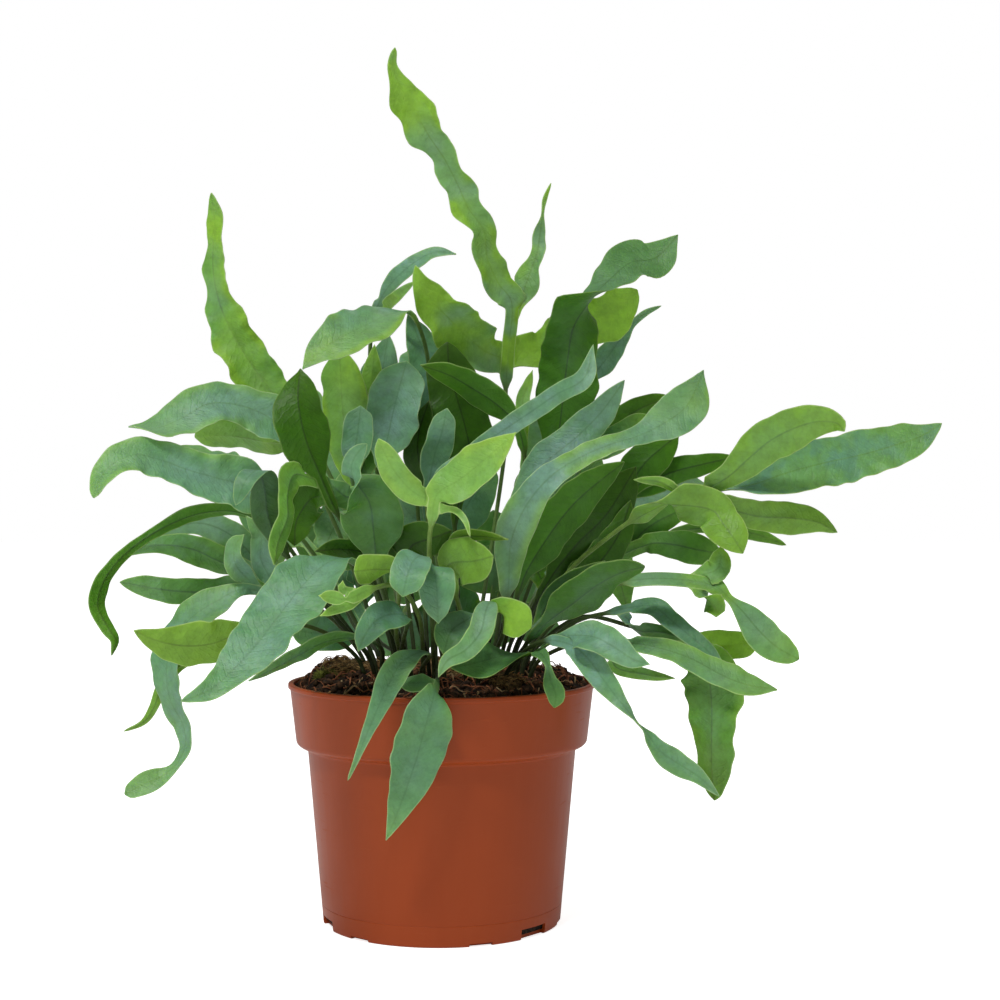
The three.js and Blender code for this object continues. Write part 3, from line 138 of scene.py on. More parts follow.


# Each look holds how fresh a frond or lobe is, how deep the painted shade is that darkens it where it stands in
# the shadow of others, and how bloomed it is.
FRONDS = (
    Frond("frond_tall", Tone.GREEN, (12, 14), stem=((20, 150, 20), (25, 188, 27), (25, 201, 29)),
        rachis=((25, 210, 30), (26, 224, 31), (27, 242, 31)), blade=((22, 249, 30), (17.5, 259, 27),
        (16.3, 269, 24), (10, 279, 22), (6, 288, 20), (1.5, 297, 17), (-4.5, 306, 13), (-10.5, 316, 9),
        (-16, 325, 5), (-19.5, 334, 2), (-18.5, 341.5, 0)), widths=(5.6, 6, 5, 5, 6, 5.2, 5, 7, 7.2, 3, 1),
        faces="FFR FFR FFL FFL FFR", wing=3, look=(0.45, 0, 0.6), wave=1.1, pitch=17, lobes=(Lobe(0.25,
        ((17.5, 222, 24), (10, 228, 18), (3, 235, 12), (-3.5, 242, 8), (-8, 249, 5), (-10.5, 256, 4)),
        spread=2, widths=(6.8, 8.4, 9.8, 9.4, 7.8, 4.6, 1), faces="FFL FFL", look=(0.6, 0, 0.9)), Lobe(0.38,
        ((37, 223, 34), (50, 228.5, 40), (61, 234, 45), (70, 240, 47), (76.5, 246.5, 48)), spread=2,
        widths=(7.6, 7.8, 8, 8.6, 9.2, 8, 2.4), faces="FFU FFR", look=(0.8, 0, 0)), Lobe(0.88, ((32, 246, 34),
        (34.6, 253, 35), (37.3, 261, 36), (38.3, 268, 37), (39.3, 276, 37), (40, 281, 37), (42.7, 288.3, 36)),
        widths=(4.2, 6, 5, 2.9, 2.9, 2.4, 0.6, 0.9, 0.4), faces="FFL FFL FFR"))),
    Frond("frond_fold", Tone.GREEN, (20, 6), stem=((34, 150, 8), (42, 172, 8)), blade=((45, 184, 8),
        (47.5, 203, 6), (49.5, 220, 2), (51.5, 232, -3), (57, 241, -5), (65.5, 250, 0), (74, 257, 6),
        (84, 259, 10), (92.5, 268, 12)), widths=(6, 10, 11.6, 11.4, 10.6, 9, 5, 7.4, 9, 7, 0.8),
        faces="BBR BBR BBR BU U FU FFU FFU", look=(0, 0.7, 0.35)),
    Frond("frond_twist", Tone.GLAUCOUS, (8, -4), stem=((0, 130, -18), (-4, 160, -28)), blade=((-2, 174, -32),
        (10, 182, -34), (22, 190, -34), (34, 198, -33), (45, 205.5, -30), (55.5, 211.5, -26),
        (59.3, 225, -20)), widths=(1, 2, 3.5, 4, 3.9, 3.9, 3.4, 0.4), faces="FU F F FU", look=(0, 0, 0.7)),
    Frond("frond_dark_top", Tone.GREEN, (16, 4), stem=((26, 140, 4), (32, 172, 4)), rachis=((32, 184, 3),
        (29, 194, 1)), blade=((21, 202, -1), (11, 208.5, -4), (2, 213.5, -8), (-8.5, 217, -11)), half=5.8,
        faces="BBU BU", look=(0, 0.5, 0.1), lobes=(Lobe(0.5, ((31.5, 203, 6), (33.5, 209, 8), (35.5, 215, 9)),
        half=2.8, look=(0.5, 0.1, 0.1)),)),
    Frond("frond_broad", Tone.GREEN, (6, 8), stem=((6, 140, 10),), rachis=((5, 156, 11), (8, 169, 11)),
        blade=((11, 180, 12), (9, 192, 12), (6, 203, 12), (3, 214, 12), (2, 226, 11)), round=10.8,
        faces="BBL BBL B", look=(0, 0.95, 0), lobes=(Lobe(0.5, ((-4, 170, 9), (-9, 180, 7), (-9, 190, 7),
        (-5, 203, 8)), half=6.6, faces="BBR BBR"),)),
    Frond("frond_back_blue", Tone.GLAUCOUS, (-6, 14), stem=((-8, 140, 22),), rachis=((-10, 174, 28),
        (-8, 190, 30)), blade=((-4, 203, 32), (-4, 213, 33), (-8, 224, 34), (-13.5, 237, 34)), half=7.8,
        faces="FFR FFR", look=(0, 0.15, 0.6), lobes=(Lobe(0.5, ((-18, 196, 27), (-23, 210, 26),
        (-21, 229, 25)), half=9.4, faces="FFL FL", look=(0, 0.5, 0.5)),)),
    Frond("frond_round_blue", Tone.GLAUCOUS, (-10, -2), stem=((-16, 140, 0), (-22, 170, 2)),
        blade=((-22.5, 181, 3), (-20.5, 192, 2), (-17.5, 205, 0), (-14, 218.5, -2)), round=10.8,
        faces="FFL FFL FFR", look=(0, 0.15, 0.75)),
    Frond("frond_arch", Tone.GLAUCOUS, (-4, 10), stem=((-4, 150, 24), (-4, 200, 26), (-7, 226, 22)),
        blade=((-13, 237.5, 10), (-21, 236.5, 2), (-31, 232, -5), (-40, 227.5, -10), (-48, 222.5, -13),
        (-54.8, 215.3, -15)), widths=(1.5, 4.5, 7.8, 9.5, 9.9, 9.5, 7.2, 4.2, 0.6), faces="U FU FFU FFL",
        look=(0.3, 0.1, 0.55)),
    Frond("frond_slender", Tone.GLAUCOUS, (-14, 14), stem=((-22, 150, 38), (-28, 200, 44), (-28, 228, 38)),
        rachis=((-27, 235, 34), (-24, 243, 30)), blade=((-19, 250, 24), (-11, 257, 22), (-3, 261, 20),
        (5.5, 260.5, 18)), half=3.4, faces="F FU", look=(0, 0, 0.8), lobes=(Lobe(0.5, ((-18, 244, 20),
        (-10.5, 250, 17)), half=2.4, look=(0.8, 0.05, 0)),)),
    Frond("frond_left_tall", Tone.GREEN, (-18, 8), stem=((-34, 150, 16), (-50, 185, 20)),
        blade=((-61, 199, 22), (-72, 213, 23), (-80.5, 226, 24), (-86.5, 239, 25), (-89.3, 251, 25),
        (-89.7, 262, 24), (-89.2, 273, 22), (-90.5, 284.5, 20)),
        widths=(4, 7.5, 8.4, 8.4, 8.2, 6.9, 4.6, 4.5, 3.2, 3.4, 1), faces="BBL BBL BBR BBR",
        look=(0.4, 0, 0.7), wave=0.8, pitch=15),
    Frond("frond_left_wing", Tone.GLAUCOUS, (-22, -2), stem=((-36, 140, -2), (-48, 168, -4)),
        rachis=((-53, 181, -6), (-60, 190, -8)), rachis_faces="FU U", blade=((-71, 198, -10),
        (-82, 201.5, -14), (-92, 201.5, -19), (-102, 196, -24), (-112, 192, -28), (-123, 192.8, -31)),
        widths=(5, 8.8, 8, 8, 8.6, 9, 7.6, 6, 4), faces="FU FFU FFU FU U", wing=4, look=(0.12, 0, 0.95),
        lobes=(Lobe(0.5, ((-68, 187, 2), (-78, 188.8, 6), (-88, 189.6, 8), (-97, 188.8, 9)),
        widths=(3.5, 4.6, 5.4, 5.6, 5.6, 5.2, 3), faces="BU BU", look=(1, 0, 0)),)),
    Frond("frond_left_hook", Tone.GLAUCOUS, (-24, -8), stem=((-42, 130, -14), (-56, 150, -18)),
        blade=((-66, 160, -20), (-79, 169.5, -24), (-90, 173, -28), (-100, 175.8, -31), (-110, 179.5, -34),
        (-120, 181.6, -38), (-128.5, 178.5, -42), (-134, 172.5, -44), (-136.8, 164.8, -45)),
        widths=(3, 8.6, 9.8, 8.6, 7.6, 7.1, 6.9, 5, 1.8), faces="FU FFU FFU FU", look=(0.12, 0, 0.55)),
    Frond("frond_left_whip", Tone.GREEN, (-26, 0), stem=((-48, 128, -2), (-66, 152, -4)),
        blade=((-80, 159.5, -6), (-94, 159.3, -9), (-106, 155, -12), (-117, 148.5, -16), (-127, 140.5, -20),
        (-133.5, 131, -23), (-135.3, 122, -25), (-131, 113.5, -27), (-128.3, 109, -28), (-129.7, 103, -28)),
        widths=(2, 2.8, 3, 2.6, 2.2, 2.2, 2.4, 2.9, 2.4, 2, 0.5), faces="BU BU B BL BL BL",
        look=(0.05, 0.45, 0.1)),
    Frond("frond_left_back", Tone.GREEN, (-26, 8), stem=((-44, 118, 10),), rachis=((-62, 131, 12),
        (-76, 137, 13)), rachis_faces="U U", blade=((-87, 140, 12), (-97, 144.5, 10), (-107, 146.3, 8),
        (-116, 145.8, 7), (-127, 141.5, 6)), widths=(3, 5.4, 6, 5.4, 3.6, 2.2, 0.6), faces="BU B B",
        look=(0, 0.2, 1), lobes=(Lobe(0.4, ((-84, 151, 17), (-97, 155, 19), (-113, 150, 20)), half=5.6,
        faces="F F"), Lobe(0.5, ((-88, 128.5, 6), (-104, 128.3, 3), (-126.5, 131.8, 1)), round=5.2,
        faces="B B"))),
    Frond("frond_front_left", Tone.GLAUCOUS, (-12, -18), stem=((-22, 118, -36), (-31, 136, -48)),
        blade=((-39, 141, -55), (-46, 138.5, -61), (-54, 131, -67), (-63, 119.8, -74), (-72, 108, -81),
        (-82, 97.2, -88), (-91, 89.5, -94), (-102.5, 85, -99)),
        widths=(4, 9, 12.4, 12.6, 12, 11.2, 9.2, 6.6, 4, 1), faces="U FU FFL FFL FFL FFL",
        look=(0.05, 0.22, 0.5)),
    Frond("frond_left_bright", Tone.YOUNG, (-28, -12), stem=((-46, 112, -22),), rachis=((-64, 116, -34),
        (-78, 113, -38)), blade=((-90, 108, -42), (-101, 107, -46), (-112, 109, -50), (-121, 112.8, -53)),
        widths=(3, 7.5, 8.8, 8.8, 7.2, 4.2, 1), faces="BU B", look=(0.1, 0.2, 0), lobes=(Lobe(0.6,
        ((-92, 103, -28), (-103, 99, -25), (-110, 91, -24), (-113, 83, -24), (-117, 77, -24),
        (-125, 73.2, -25)), widths=(1.6, 1.4, 1.6, 2.4, 1.8, 0.5), faces="BU B", look=(0, 0.35, 0.2)),)),
    Frond("frond_left_hanging", Tone.GLAUCOUS, (-28, -4), stem=((-44, 118, -10),), rachis=((-58, 124, -16),
        (-78, 129, -25)), blade=((-88, 124.5, -28), (-99, 117, -31), (-106, 106, -33), (-108, 94.5, -34),
        (-106, 84.5, -34), (-101.5, 76, -35), (-100.5, 68, -36), (-103.5, 61, -38), (-109, 56, -40),
        (-116, 53, -41), (-124.5, 48.5, -42)), widths=(2.5, 5.8, 6.6, 6.4, 6.3, 5.6, 4.6, 3, 1.9, 4.4, 2.6),
        faces="FL", look=(0.15, 0.3, 0.6), lobes=(Lobe(0.35, ((-71, 141, -26), (-71, 150, -28),
        (-77, 158, -28)), half=4.8, faces="FL"), Lobe(0.8, ((-81, 139, -30), (-81, 146, -32),
        (-77.5, 150.5, -33)), half=4.8, faces="FL"))),
    Frond("frond_left_curl", Tone.GLAUCOUS, (-24, -14), stem=((-42, 118, -24), (-58, 138, -30)),
        blade=((-65, 149, -33), (-68.5, 159, -36), (-69.5, 168, -41), (-72, 175.5, -47), (-77, 171.5, -53),
        (-81, 162, -55)), widths=(3.5, 6, 6.4, 5.8, 4.6, 4, 1.4), faces="B B BU U FU F", look=(0, 0.9, 0.5)),
    Frond("frond_left_three", Tone.GREEN, (-16, -10), stem=((-26, 130, -24), (-36, 150, -34)),
        rachis=((-42, 160, -38), (-49, 176, -40)), blade=((-54, 189, -40), (-56.5, 203, -38),
        (-55.5, 215.5, -35)), widths=(4, 7.8, 9.4, 9.9, 9.6, 8.6, 5.8, 0.8), faces="BBL BBL BBR",
        look=(0.05, 0.85, 0.05), lobes=(Lobe(0.72, ((-58, 174, -44), (-61, 166, -50), (-61, 157, -53),
        (-64.5, 148, -56), (-66, 138.5, -58)), widths=(5, 6, 4.4, 2.8, 3, 3.4, 2.8, 0.6), faces="BL BL",
        look=(0.1, 0.1, 0.3)), Lobe(0.5, ((-36, 165, -34), (-31, 170, -31)), half=5, faces="B",
        look=(0, 0.2, 0.8)), Lobe(0.3, ((-52, 164, -30), (-57, 156, -28), (-58, 146, -28)), round=7,
        faces="B", look=(0.05, 0.8, 0.1)))),
    Frond("frond_centre_curl", Tone.GLAUCOUS, (-10, -24), stem=((-20, 118, -44), (-25, 134, -52)),
        blade=((-26, 143, -56), (-27, 153, -59), (-28.5, 163, -62), (-34, 171, -66), (-35.5, 177, -68),
        (-33.5, 182, -69), (-29.5, 186, -69)), widths=(5, 10, 12.2, 12.2, 10.5, 5, 4, 3.6, 1.6),
        faces="B B B B BL FL F F", look=(0, 0.5, 0.5)),
    Frond("frond_round_small", Tone.GLAUCOUS, (-14, -6), stem=((-26, 140, -16), (-34, 168, -24)),
        blade=((-35, 178, -27), (-33.5, 188, -29), (-32, 201, -30)), round=6.2, faces="FFL FFR",
        look=(0, 0.4, 0.6)),
    Frond("frond_light_back", Tone.GREEN, (-14, 6), stem=((-28, 140, 12),), rachis=((-33, 160, 14),
        (-36, 174, 14)), blade=((-37, 184, 15), (-38.5, 196, 16), (-39.5, 209, 16), (-40, 223, 15)),
        round=9.6, faces="BBR BBR", look=(0.3, 0, 0.7), lobes=(Lobe(0.6, ((-29, 188, 18), (-28, 202, 20),
        (-27.5, 214, 20), (-26.5, 225, 20)), half=6.5, faces="B"),)),
    Frond("frond_centre_strap", Tone.GLAUCOUS, (-2, -8), stem=((-4, 140, -14), (-6, 162, -18)),
        blade=((-5, 172, -19), (-3, 182, -20), (0, 191, -21), (2, 200, -21)), round=5.6, faces="FFR FFR FFL",
        look=(0, 0.5, 0.5)),
    Frond("frond_young_three", Tone.YOUNG, (2, -26), stem=((-4, 124, -50), (-5, 148, -63)),
        rachis=((-4, 156, -66), (-2, 166, -68)), blade=((7, 172, -70), (17, 180, -72), (29, 190.5, -74)),
        widths=(5, 7.6, 8, 8, 7.6, 6, 3.4, 0.5), faces="FFU FFU", look=(0.2, 0.05, 0.1), lobes=(Lobe(0.7,
        ((-11, 167, -68), (-19, 176, -70), (-25, 188, -72)), widths=(4.6, 5.2, 5.4, 5.4, 5, 4, 1.6),
        faces="FFL FFL"), Lobe(0.5, ((5, 160, -70), (9, 156, -73), (11, 149.5, -75)), half=1.4))),
    Frond("frond_dark_wave", Tone.GREEN, (-4, -16), stem=((-10, 118, -34),), rachis=((-14, 133, -42),
        (-18, 141, -46)), blade=((-28, 143.5, -49), (-40, 145, -50), (-50, 144, -51)), half=4.6, faces="BU",
        look=(0, 0.95, 0), lobes=(Lobe(0.6, ((-12, 146, -50), (-4, 149, -53), (4, 152, -56)), half=8,
        faces="B"),)),
    Frond("frond_bright_small", Tone.YOUNG, (-14, -22), stem=((-18, 112, -46), (-17, 128, -62)),
        blade=((-18, 136, -72), (-25, 137, -80), (-34.5, 136, -86)), widths=(2, 4.6, 5.6, 5.8, 6, 6, 5),
        faces="BU B", look=(0.2, 0.2, 0.1)),
    Frond("frond_tongues", Tone.GLAUCOUS, (-2, -28), stem=((-4, 118, -52),), rachis=((-6, 136, -64),
        (-8, 142, -74)), rachis_faces="U U", blade=((-12, 139, -82), (-14, 133, -86), (-15.5, 126, -87)),
        round=7.4, faces="FU F", look=(0, 0.2, 0.6), lobes=(Lobe(0.5, ((-3, 136, -74), (-2, 127, -76),
        (-1.5, 115.5, -76)), half=7.4, faces="FU F", look=(0, 0.45, 0.4)),)),
    Frond("frond_bright_right", Tone.YOUNG, (10, -20), stem=((8, 116, -38),), rachis=((5, 128, -49),
        (2, 137, -55)), blade=((4.5, 139.5, -62), (12, 140, -68), (20, 142, -73)),
        widths=(3, 8.2, 9.4, 9.2, 7.6, 2.6), faces="B", look=(0.05, 0.3, 0.25), lobes=(Lobe(0.5,
        ((6, 149, -56), (15, 150, -60), (26, 148.5, -64)), half=2.8, faces="BU"),)),
    Frond("frond_long_strap", Tone.GLAUCOUS, (18, -14), stem=((24, 112, -34), (25, 124, -44)),
        blade=((26, 132, -50), (27, 148, -52), (33, 162, -50), (43, 173.5, -47), (55, 181, -43),
        (67, 186, -39), (77, 189, -35), (87, 194, -31), (96, 201, -27), (102.5, 215, -23)),
        widths=(4, 6.6, 7.4, 6, 4.8, 4.2, 3.8, 4.6, 8.4, 7.8, 0.6), faces="FFR FFR FFU FU FFU FFR",
        look=(0.15, 0, 1)),
    Frond("frond_dark_right", Tone.GREEN, (22, -8), stem=((28, 120, -24),), blade=((32, 134, -28),
        (41, 149, -28), (51, 162, -27), (61, 171, -25), (71.5, 179, -22)), half=8.4, faces="BBL BBU",
        look=(0, 0.6, 0.15)),
    Frond("frond_deep_right", Tone.GREEN, (26, -2), stem=((34, 118, -10),), rachis=((38, 126, -12),
        (44, 136, -14)), blade=((53, 147, -12), (64, 158, -10), (76, 177, -6)), half=10.8, faces="BBL BBU",
        look=(0, 1, 0), lobes=(Lobe(0.4, ((50, 132, -14), (60, 138, -12), (69, 150, -10), (74, 164, -8)),
        half=7, faces="B", look=(0, 0.9, 0)), Lobe(0.5, ((35, 142, -2), (33, 154, 0), (35, 166, 2)), half=7,
        faces="B", look=(0, 0.9, 0)))),
    Frond("frond_up_right", Tone.GLAUCOUS, (20, 0), stem=((24, 130, -4), (26, 152, -8)),
        blade=((30, 167, -10), (41, 179, -10), (52, 188, -9), (62, 198, -6), (71.5, 211, -2)), half=7.3,
        faces="FFU FFU FFR", look=(0, 0.15, 0.6)),
    Frond("frond_right_pair", Tone.GREEN, (24, 12), stem=((38, 140, 18),), rachis=((52, 172, 22),
        (60, 186, 24)), rachis_faces="U U", blade=((70, 195, 26), (81, 201.5, 28), (92, 204, 30)), half=5,
        faces="BU B", look=(0.2, 0.4, 0.1), lobes=(Lobe(0.6, ((70, 189, 17), (82.5, 197, 14)), round=5.4),)),
    Frond("frond_right_dark", Tone.GREEN, (26, 6), stem=((44, 134, 6),), rachis=((60, 157, 8), (72, 168, 9)),
        blade=((80, 179, 10), (93, 190, 12)), half=8, faces="B", look=(0.05, 0.6, 0.1), lobes=(Lobe(0.75,
        ((88, 174, 14), (102, 178, 16), (116, 181, 18)), half=5.4, faces="B"), Lobe(0.3, ((77, 170, 4),
        (87, 172, 1)), half=3, faces="B"))),
    Frond("frond_right_great", Tone.YOUNG, (28, -8), stem=((48, 134, -22), (66, 150, -31)),
        rachis=((76, 157, -34), (90, 164, -37), (106, 170, -40)), rachis_faces="BU U U",
        blade=((113, 174, -42), (121, 181, -44), (129, 187.5, -47), (139, 192.5, -50), (149, 195, -53),
        (155.5, 194, -56), (157.8, 191, -58)), widths=(4, 5.4, 7.2, 8.4, 8.6, 7.4, 5, 1.4),
        faces="BU B B B BU", wing=5.4, look=(0.1, 0.25, 0.4), lobes=(Lobe(0.7, ((86, 171, -41),
        (75, 172, -43)), half=2, faces="B"), Lobe(0.3, ((106, 160, -43), (110, 155, -46), (114, 149.5, -49),
        (118, 143, -51)), round=8, faces="B"), Lobe(0.6, ((113, 160.5, -36), (125, 157.5, -33),
        (136, 157, -30), (147, 155.3, -28), (155, 151.3, -27)), widths=(3.5, 4.6, 5, 5.8, 6.6, 5, 1),
        faces="B"), Lobe(0.92, ((120, 169.5, -36), (135, 174.5, -32), (150, 178.5, -28), (164, 181.5, -25),
        (178, 185.5, -23), (188, 189, -22), (196, 194, -21)), widths=(4.5, 5, 7.6, 9.8, 9.6, 8.6, 7, 1),
        faces="FFU FFU FFU", look=(0, 0.3, 0.9)))),
    Frond("frond_right_second", Tone.GREEN, (30, 2), stem=((40, 114, 2), (46, 123, 1)), rachis=((56, 133, 0),
        (68, 141.5, -1), (82, 147, -3)), rachis_faces="BU BU", blade=((91, 146.5, -5), (100, 144.5, -7),
        (110, 143, -9)), widths=(4.2, 5, 6, 6.4, 5, 1.6), faces="B", wing=4.2, look=(0.1, 0.4, 0.3),
        lobes=(Lobe(0.6, ((78, 151, 4), (89, 158, 6), (101, 162, 8)), half=5.8, faces="B"), Lobe(0.85,
        ((94, 152, 7), (110, 153, 7), (120, 151.5, 6), (128, 149, 5), (135, 146.3, 4)),
        widths=(1.8, 1.8, 2, 3, 2.8, 0.8), faces="BU B"))),
    Frond("frond_right_arm", Tone.GREEN, (30, -12), stem=((46, 118, -24), (60, 128, -30)),
        rachis=((73, 132, -33), (88, 133, -36), (107, 130, -39)), blade=((113, 125, -41), (118, 120, -43),
        (124, 113, -45), (131, 106.5, -47), (140, 101.5, -49)), widths=(3.5, 1.6, 4, 6.2, 6.6, 5.6, 2.6),
        faces="FU F", wing=3.4, look=(0.2, 0.1, 0.4), lobes=(Lobe(0.84, ((108, 137, -37), (109.5, 146, -35)),
        half=5), Lobe(0.84, ((107, 122, -42), (107.5, 118, -43)), round=4.6, faces="BU"))),
    Frond("frond_right_sickle", Tone.GLAUCOUS, (32, -4), stem=((52, 116, -12),), rachis=((66, 120, -18),
        (76, 122, -21)), blade=((83, 122, -24), (90, 116.5, -27), (98, 110, -30), (105, 104, -33),
        (111, 97.5, -35)), widths=(2.6, 3.8, 3.8, 3.6, 3.4, 2.6, 0.6), faces="FU F", look=(0, 0.5, 0.5),
        lobes=(Lobe(0.5, ((76, 113.5, -18), (87, 112, -20), (97, 109, -22)), half=3, faces="B"),)),
    Frond("frond_right_hanging", Tone.GREEN, (30, 8), stem=((54, 118, 6), (76, 114, 0)),
        rachis=((88, 111.5, -5), (99, 109.5, -10)), blade=((109, 107, -13), (124.5, 108, -16)), round=5.8,
        faces="B", look=(0.7, 0.1, 0.1), lobes=(Lobe(0.5, ((102, 101, -15), (105, 93, -17), (106, 82, -18),
        (106, 72, -19), (106, 60, -18), (107, 46.2, -17)), widths=(5, 9, 10.8, 10.4, 9, 7.4, 6.4, 5, 1.8),
        faces="BR", look=(0.1, 0.1, 0.5)),)),
    Frond("frond_right_strap", Tone.GREEN, (32, -14), stem=((50, 107, -30),), rachis=((64, 108, -39),
        (76, 107.5, -44)), blade=((88, 105, -48), (99, 101, -52), (109, 95.5, -56), (119, 91.5, -59),
        (131.5, 89.5, -61)), widths=(3, 3.8, 4.4, 5, 5.2, 4, 0.6), faces="FU", look=(0.1, 0.1, 0.4),
        lobes=(Lobe(0.2, ((68, 99, -36), (80, 95.5, -36), (91.5, 94, -36)), half=2.8, faces="B"),)),
    Frond("frond_right_drop", Tone.GLAUCOUS, (26, -22), stem=((34, 106, -42),), rachis=((42, 109, -52),
        (51, 107, -60)), blade=((57, 102, -65), (63, 94, -68), (70, 84.5, -71), (75, 78.5, -73),
        (79, 74, -74), (85, 66, -75), (92, 61, -76), (100, 56, -77), (109, 47.5, -77)),
        widths=(4, 5.4, 5.2, 4.2, 2.2, 1.1, 2.6, 4.6, 4.2, 2.4, 0.5), faces="F F F UR F F F",
        look=(0.05, 0.2, 0.6), lobes=(Lobe(0.6, ((60, 110, -67), (68, 106, -72), (75, 101.5, -76),
        (81.5, 99.5, -78)), half=6.4, faces="FU F"),)),
    Frond("frond_grey_pair", Tone.GREEN, (26, -14), stem=((32, 106, -34),), rachis=((35, 110, -43),
        (42, 117, -49)), blade=((51, 123.5, -53), (61, 131, -57), (71, 136, -60), (79.5, 138, -62)),
        widths=(3, 6.6, 8.4, 8, 6.4, 4.4, 2), faces="BU", look=(0, 0.7, 0.6), lobes=(Lobe(0.5,
        ((44, 128, -44), (55, 135, -42), (64, 140, -40)), half=3.3, faces="BU", look=(0, 0.7, 0.6)),)),
    Frond("frond_front_pair", Tone.GREEN, (14, -26), stem=((17, 108, -46),), rachis=((19, 118, -58),
        (19, 124, -68)), rachis_faces="U U", blade=((17, 120, -78), (15, 112, -83), (9, 105, -85),
        (2, 101, -85), (-1.5, 94.5, -83)), half=4.8, faces="FU F", look=(0, 0.2, 0.55), lobes=(Lobe(0.5,
        ((25, 119, -70), (35, 114, -73)), widths=(4, 6, 6.8, 7.2, 6.6, 3.4), faces="B", look=(0.75, 0, 0)),
        Lobe(0.5, ((10, 117, -66), (3.5, 112.5, -72), (0.5, 103.5, -76)), widths=(2, 4, 5.6, 6.6, 5.6, 1.6),
        faces="FU F", look=(0, 1.3, 0.5)))),
    Frond("frond_front_dark", Tone.GREEN, (24, -28), stem=((28, 100, -38),), rachis=((32, 103, -44),
        (38, 104, -50)), rachis_faces="U U", blade=((41.5, 99, -56), (42.5, 93, -59), (44.5, 88, -60),
        (44, 82.5, -60)), widths=(3, 2.2, 1.2, 2.2, 3.6, 3.6, 2), faces="FU F", look=(0, 1, 0.1),
        lobes=(Lobe(0.5, ((28, 103.5, -53), (20, 101.8, -56), (12, 99.6, -58), (3.5, 98, -60)),
        widths=(4.5, 6.4, 7, 7, 6.2, 4.2, 1), faces="FU"), Lobe(0.5, ((43, 108, -44), (50, 109, -42)),
        half=2.2, faces="U"))),
    Frond("frond_front_tongue", Tone.GLAUCOUS, (-2, -36), stem=((-2, 97, -48),), rachis=((-2, 92.5, -56),
        (-3, 88.5, -66)), blade=((-4.5, 83, -69), (-7, 74, -70), (-10, 63, -69), (-14, 51, -68),
        (-18, 40, -67), (-22, 30.5, -66)), widths=(4.5, 9.4, 10.4, 9.8, 8.4, 6, 3.2, 0.5),
        faces="FFR FFR FFL", look=(0.1, 0.25, 0.25), lobes=(Lobe(0.5, ((-9, 92, -62), (-17, 92, -60)),
        half=3.2, faces="FU"),)),
    Frond("frond_front_whip", Tone.GLAUCOUS, (-8, -32), stem=((-5, 103, -52),), blade=((-9, 104, -62),
        (-16, 100, -68), (-21, 91.5, -71), (-25, 83, -72), (-30, 71, -72), (-37, 54, -70)),
        widths=(2, 4.8, 5.4, 4.4, 3, 2, 1.2, 0.5), faces="FU F F", look=(0.1, 0.3, 0.4)),
    Frond("frond_front_small", Tone.GLAUCOUS, (-16, -28), stem=((-15, 110, -56),), blade=((-14, 118, -69),
        (-20, 119, -75), (-26, 116.5, -79), (-30, 111.5, -81), (-33, 104.5, -82)), half=6.2, faces="FU F",
        look=(0, 0.9, 0.5)),
    Frond("frond_left_thin", Tone.GLAUCOUS, (-22, -22), stem=((-24, 106, -32),), blade=((-32, 110, -38),
        (-45, 109, -43), (-57, 103, -47), (-67, 97.5, -50), (-76, 93, -52)), half=3, faces="BU",
        look=(0, 0.4, 0.5)),
    Frond("frond_young_small", Tone.YOUNG, (-6, -24), stem=((-9, 118, -48), (-17, 130, -66)),
        rachis=((-28, 129, -85), (-38, 125, -93)), blade=((-43, 126, -94), (-48.5, 126.5, -96)), half=2.8,
        faces="F", look=(0.3, 0.1, 0), lobes=(Lobe(0.75, ((-39, 129, -92), (-39, 132.5, -92)), half=1.8),
        Lobe(0.6, ((-42, 121, -92), (-48, 118.5, -95)), half=2.3))),
    Frond("frond_rear_narrow", Tone.GLAUCOUS, (18, 26), stem=((38, 150, 88), (52, 196, 80)),
        blade=((58, 211, 72), (64, 219, 67), (69, 226, 64), (74, 232.5, 61), (80, 237.5, 60),
        (86, 240.2, 60)), widths=(2, 4.4, 4.8, 3.2, 1.5, 1.3, 0.5), faces="FFR FFR", look=(0.1, 0.3, 0.5)),
    Frond("frond_rear_left", Tone.GREEN, (-14, 26), stem=((-20, 118, 44),), rachis=((-23, 130, 50),
        (-29, 150, 62), (-36, 168, 76)), blade=((-42, 180, 88), (-48, 191, 100), (-53, 202, 112),
        (-56, 212, 124)), half=9, faces="FFL FU", step=7, lobes=(Lobe(0.2, ((-15, 131, 48), (-8, 138, 46),
        (-3, 147, 44)), round=8, look=(0.1, 0.45, 0.4)), Lobe(0.4, ((-34, 144, 60), (-45, 146, 62),
        (-58, 147, 64)), round=8.5, look=(0.1, 0.45, 0.4)), Lobe(0.8, ((-26, 168, 84), (-22, 180, 90)),
        round=7.5, look=(0.1, 0.45, 0.4)))),
    Frond("frond_rear_tall", Tone.GLAUCOUS, (0, 28), stem=((-1, 108, 40),), rachis=((-1, 117, 46),
        (-3, 138, 56), (-6, 160, 66), (-8, 178, 72)), blade=((-9, 196, 76), (-8, 212, 82), (-3, 226, 92),
        (5, 231, 104), (12, 225, 116)), widths=(3, 6, 8.6, 9.6, 9.2, 7.6, 5, 1), faces="FFR FU U BU", step=7,
        lobes=(Lobe(0.12, ((-9, 115, 62), (-19, 112, 68), (-31, 109, 72)), round=9.5, look=(0.1, 0.45, 0.4)),
        Lobe(0.3, ((8, 118, 62), (17, 114, 66), (28, 110, 68)), round=9.5, look=(0.1, 0.45, 0.4)), Lobe(0.6,
        ((-14, 160, 68), (-18, 172, 74)), round=8, look=(0.1, 0.45, 0.4)), Lobe(0.7, ((6, 158, 74),
        (13, 168, 78), (16, 180, 82)), round=9, look=(0.1, 0.45, 0.4)))),
    Frond("frond_rear_right", Tone.GREEN, (14, 28), stem=((18, 114, 42),), rachis=((20, 126, 48),
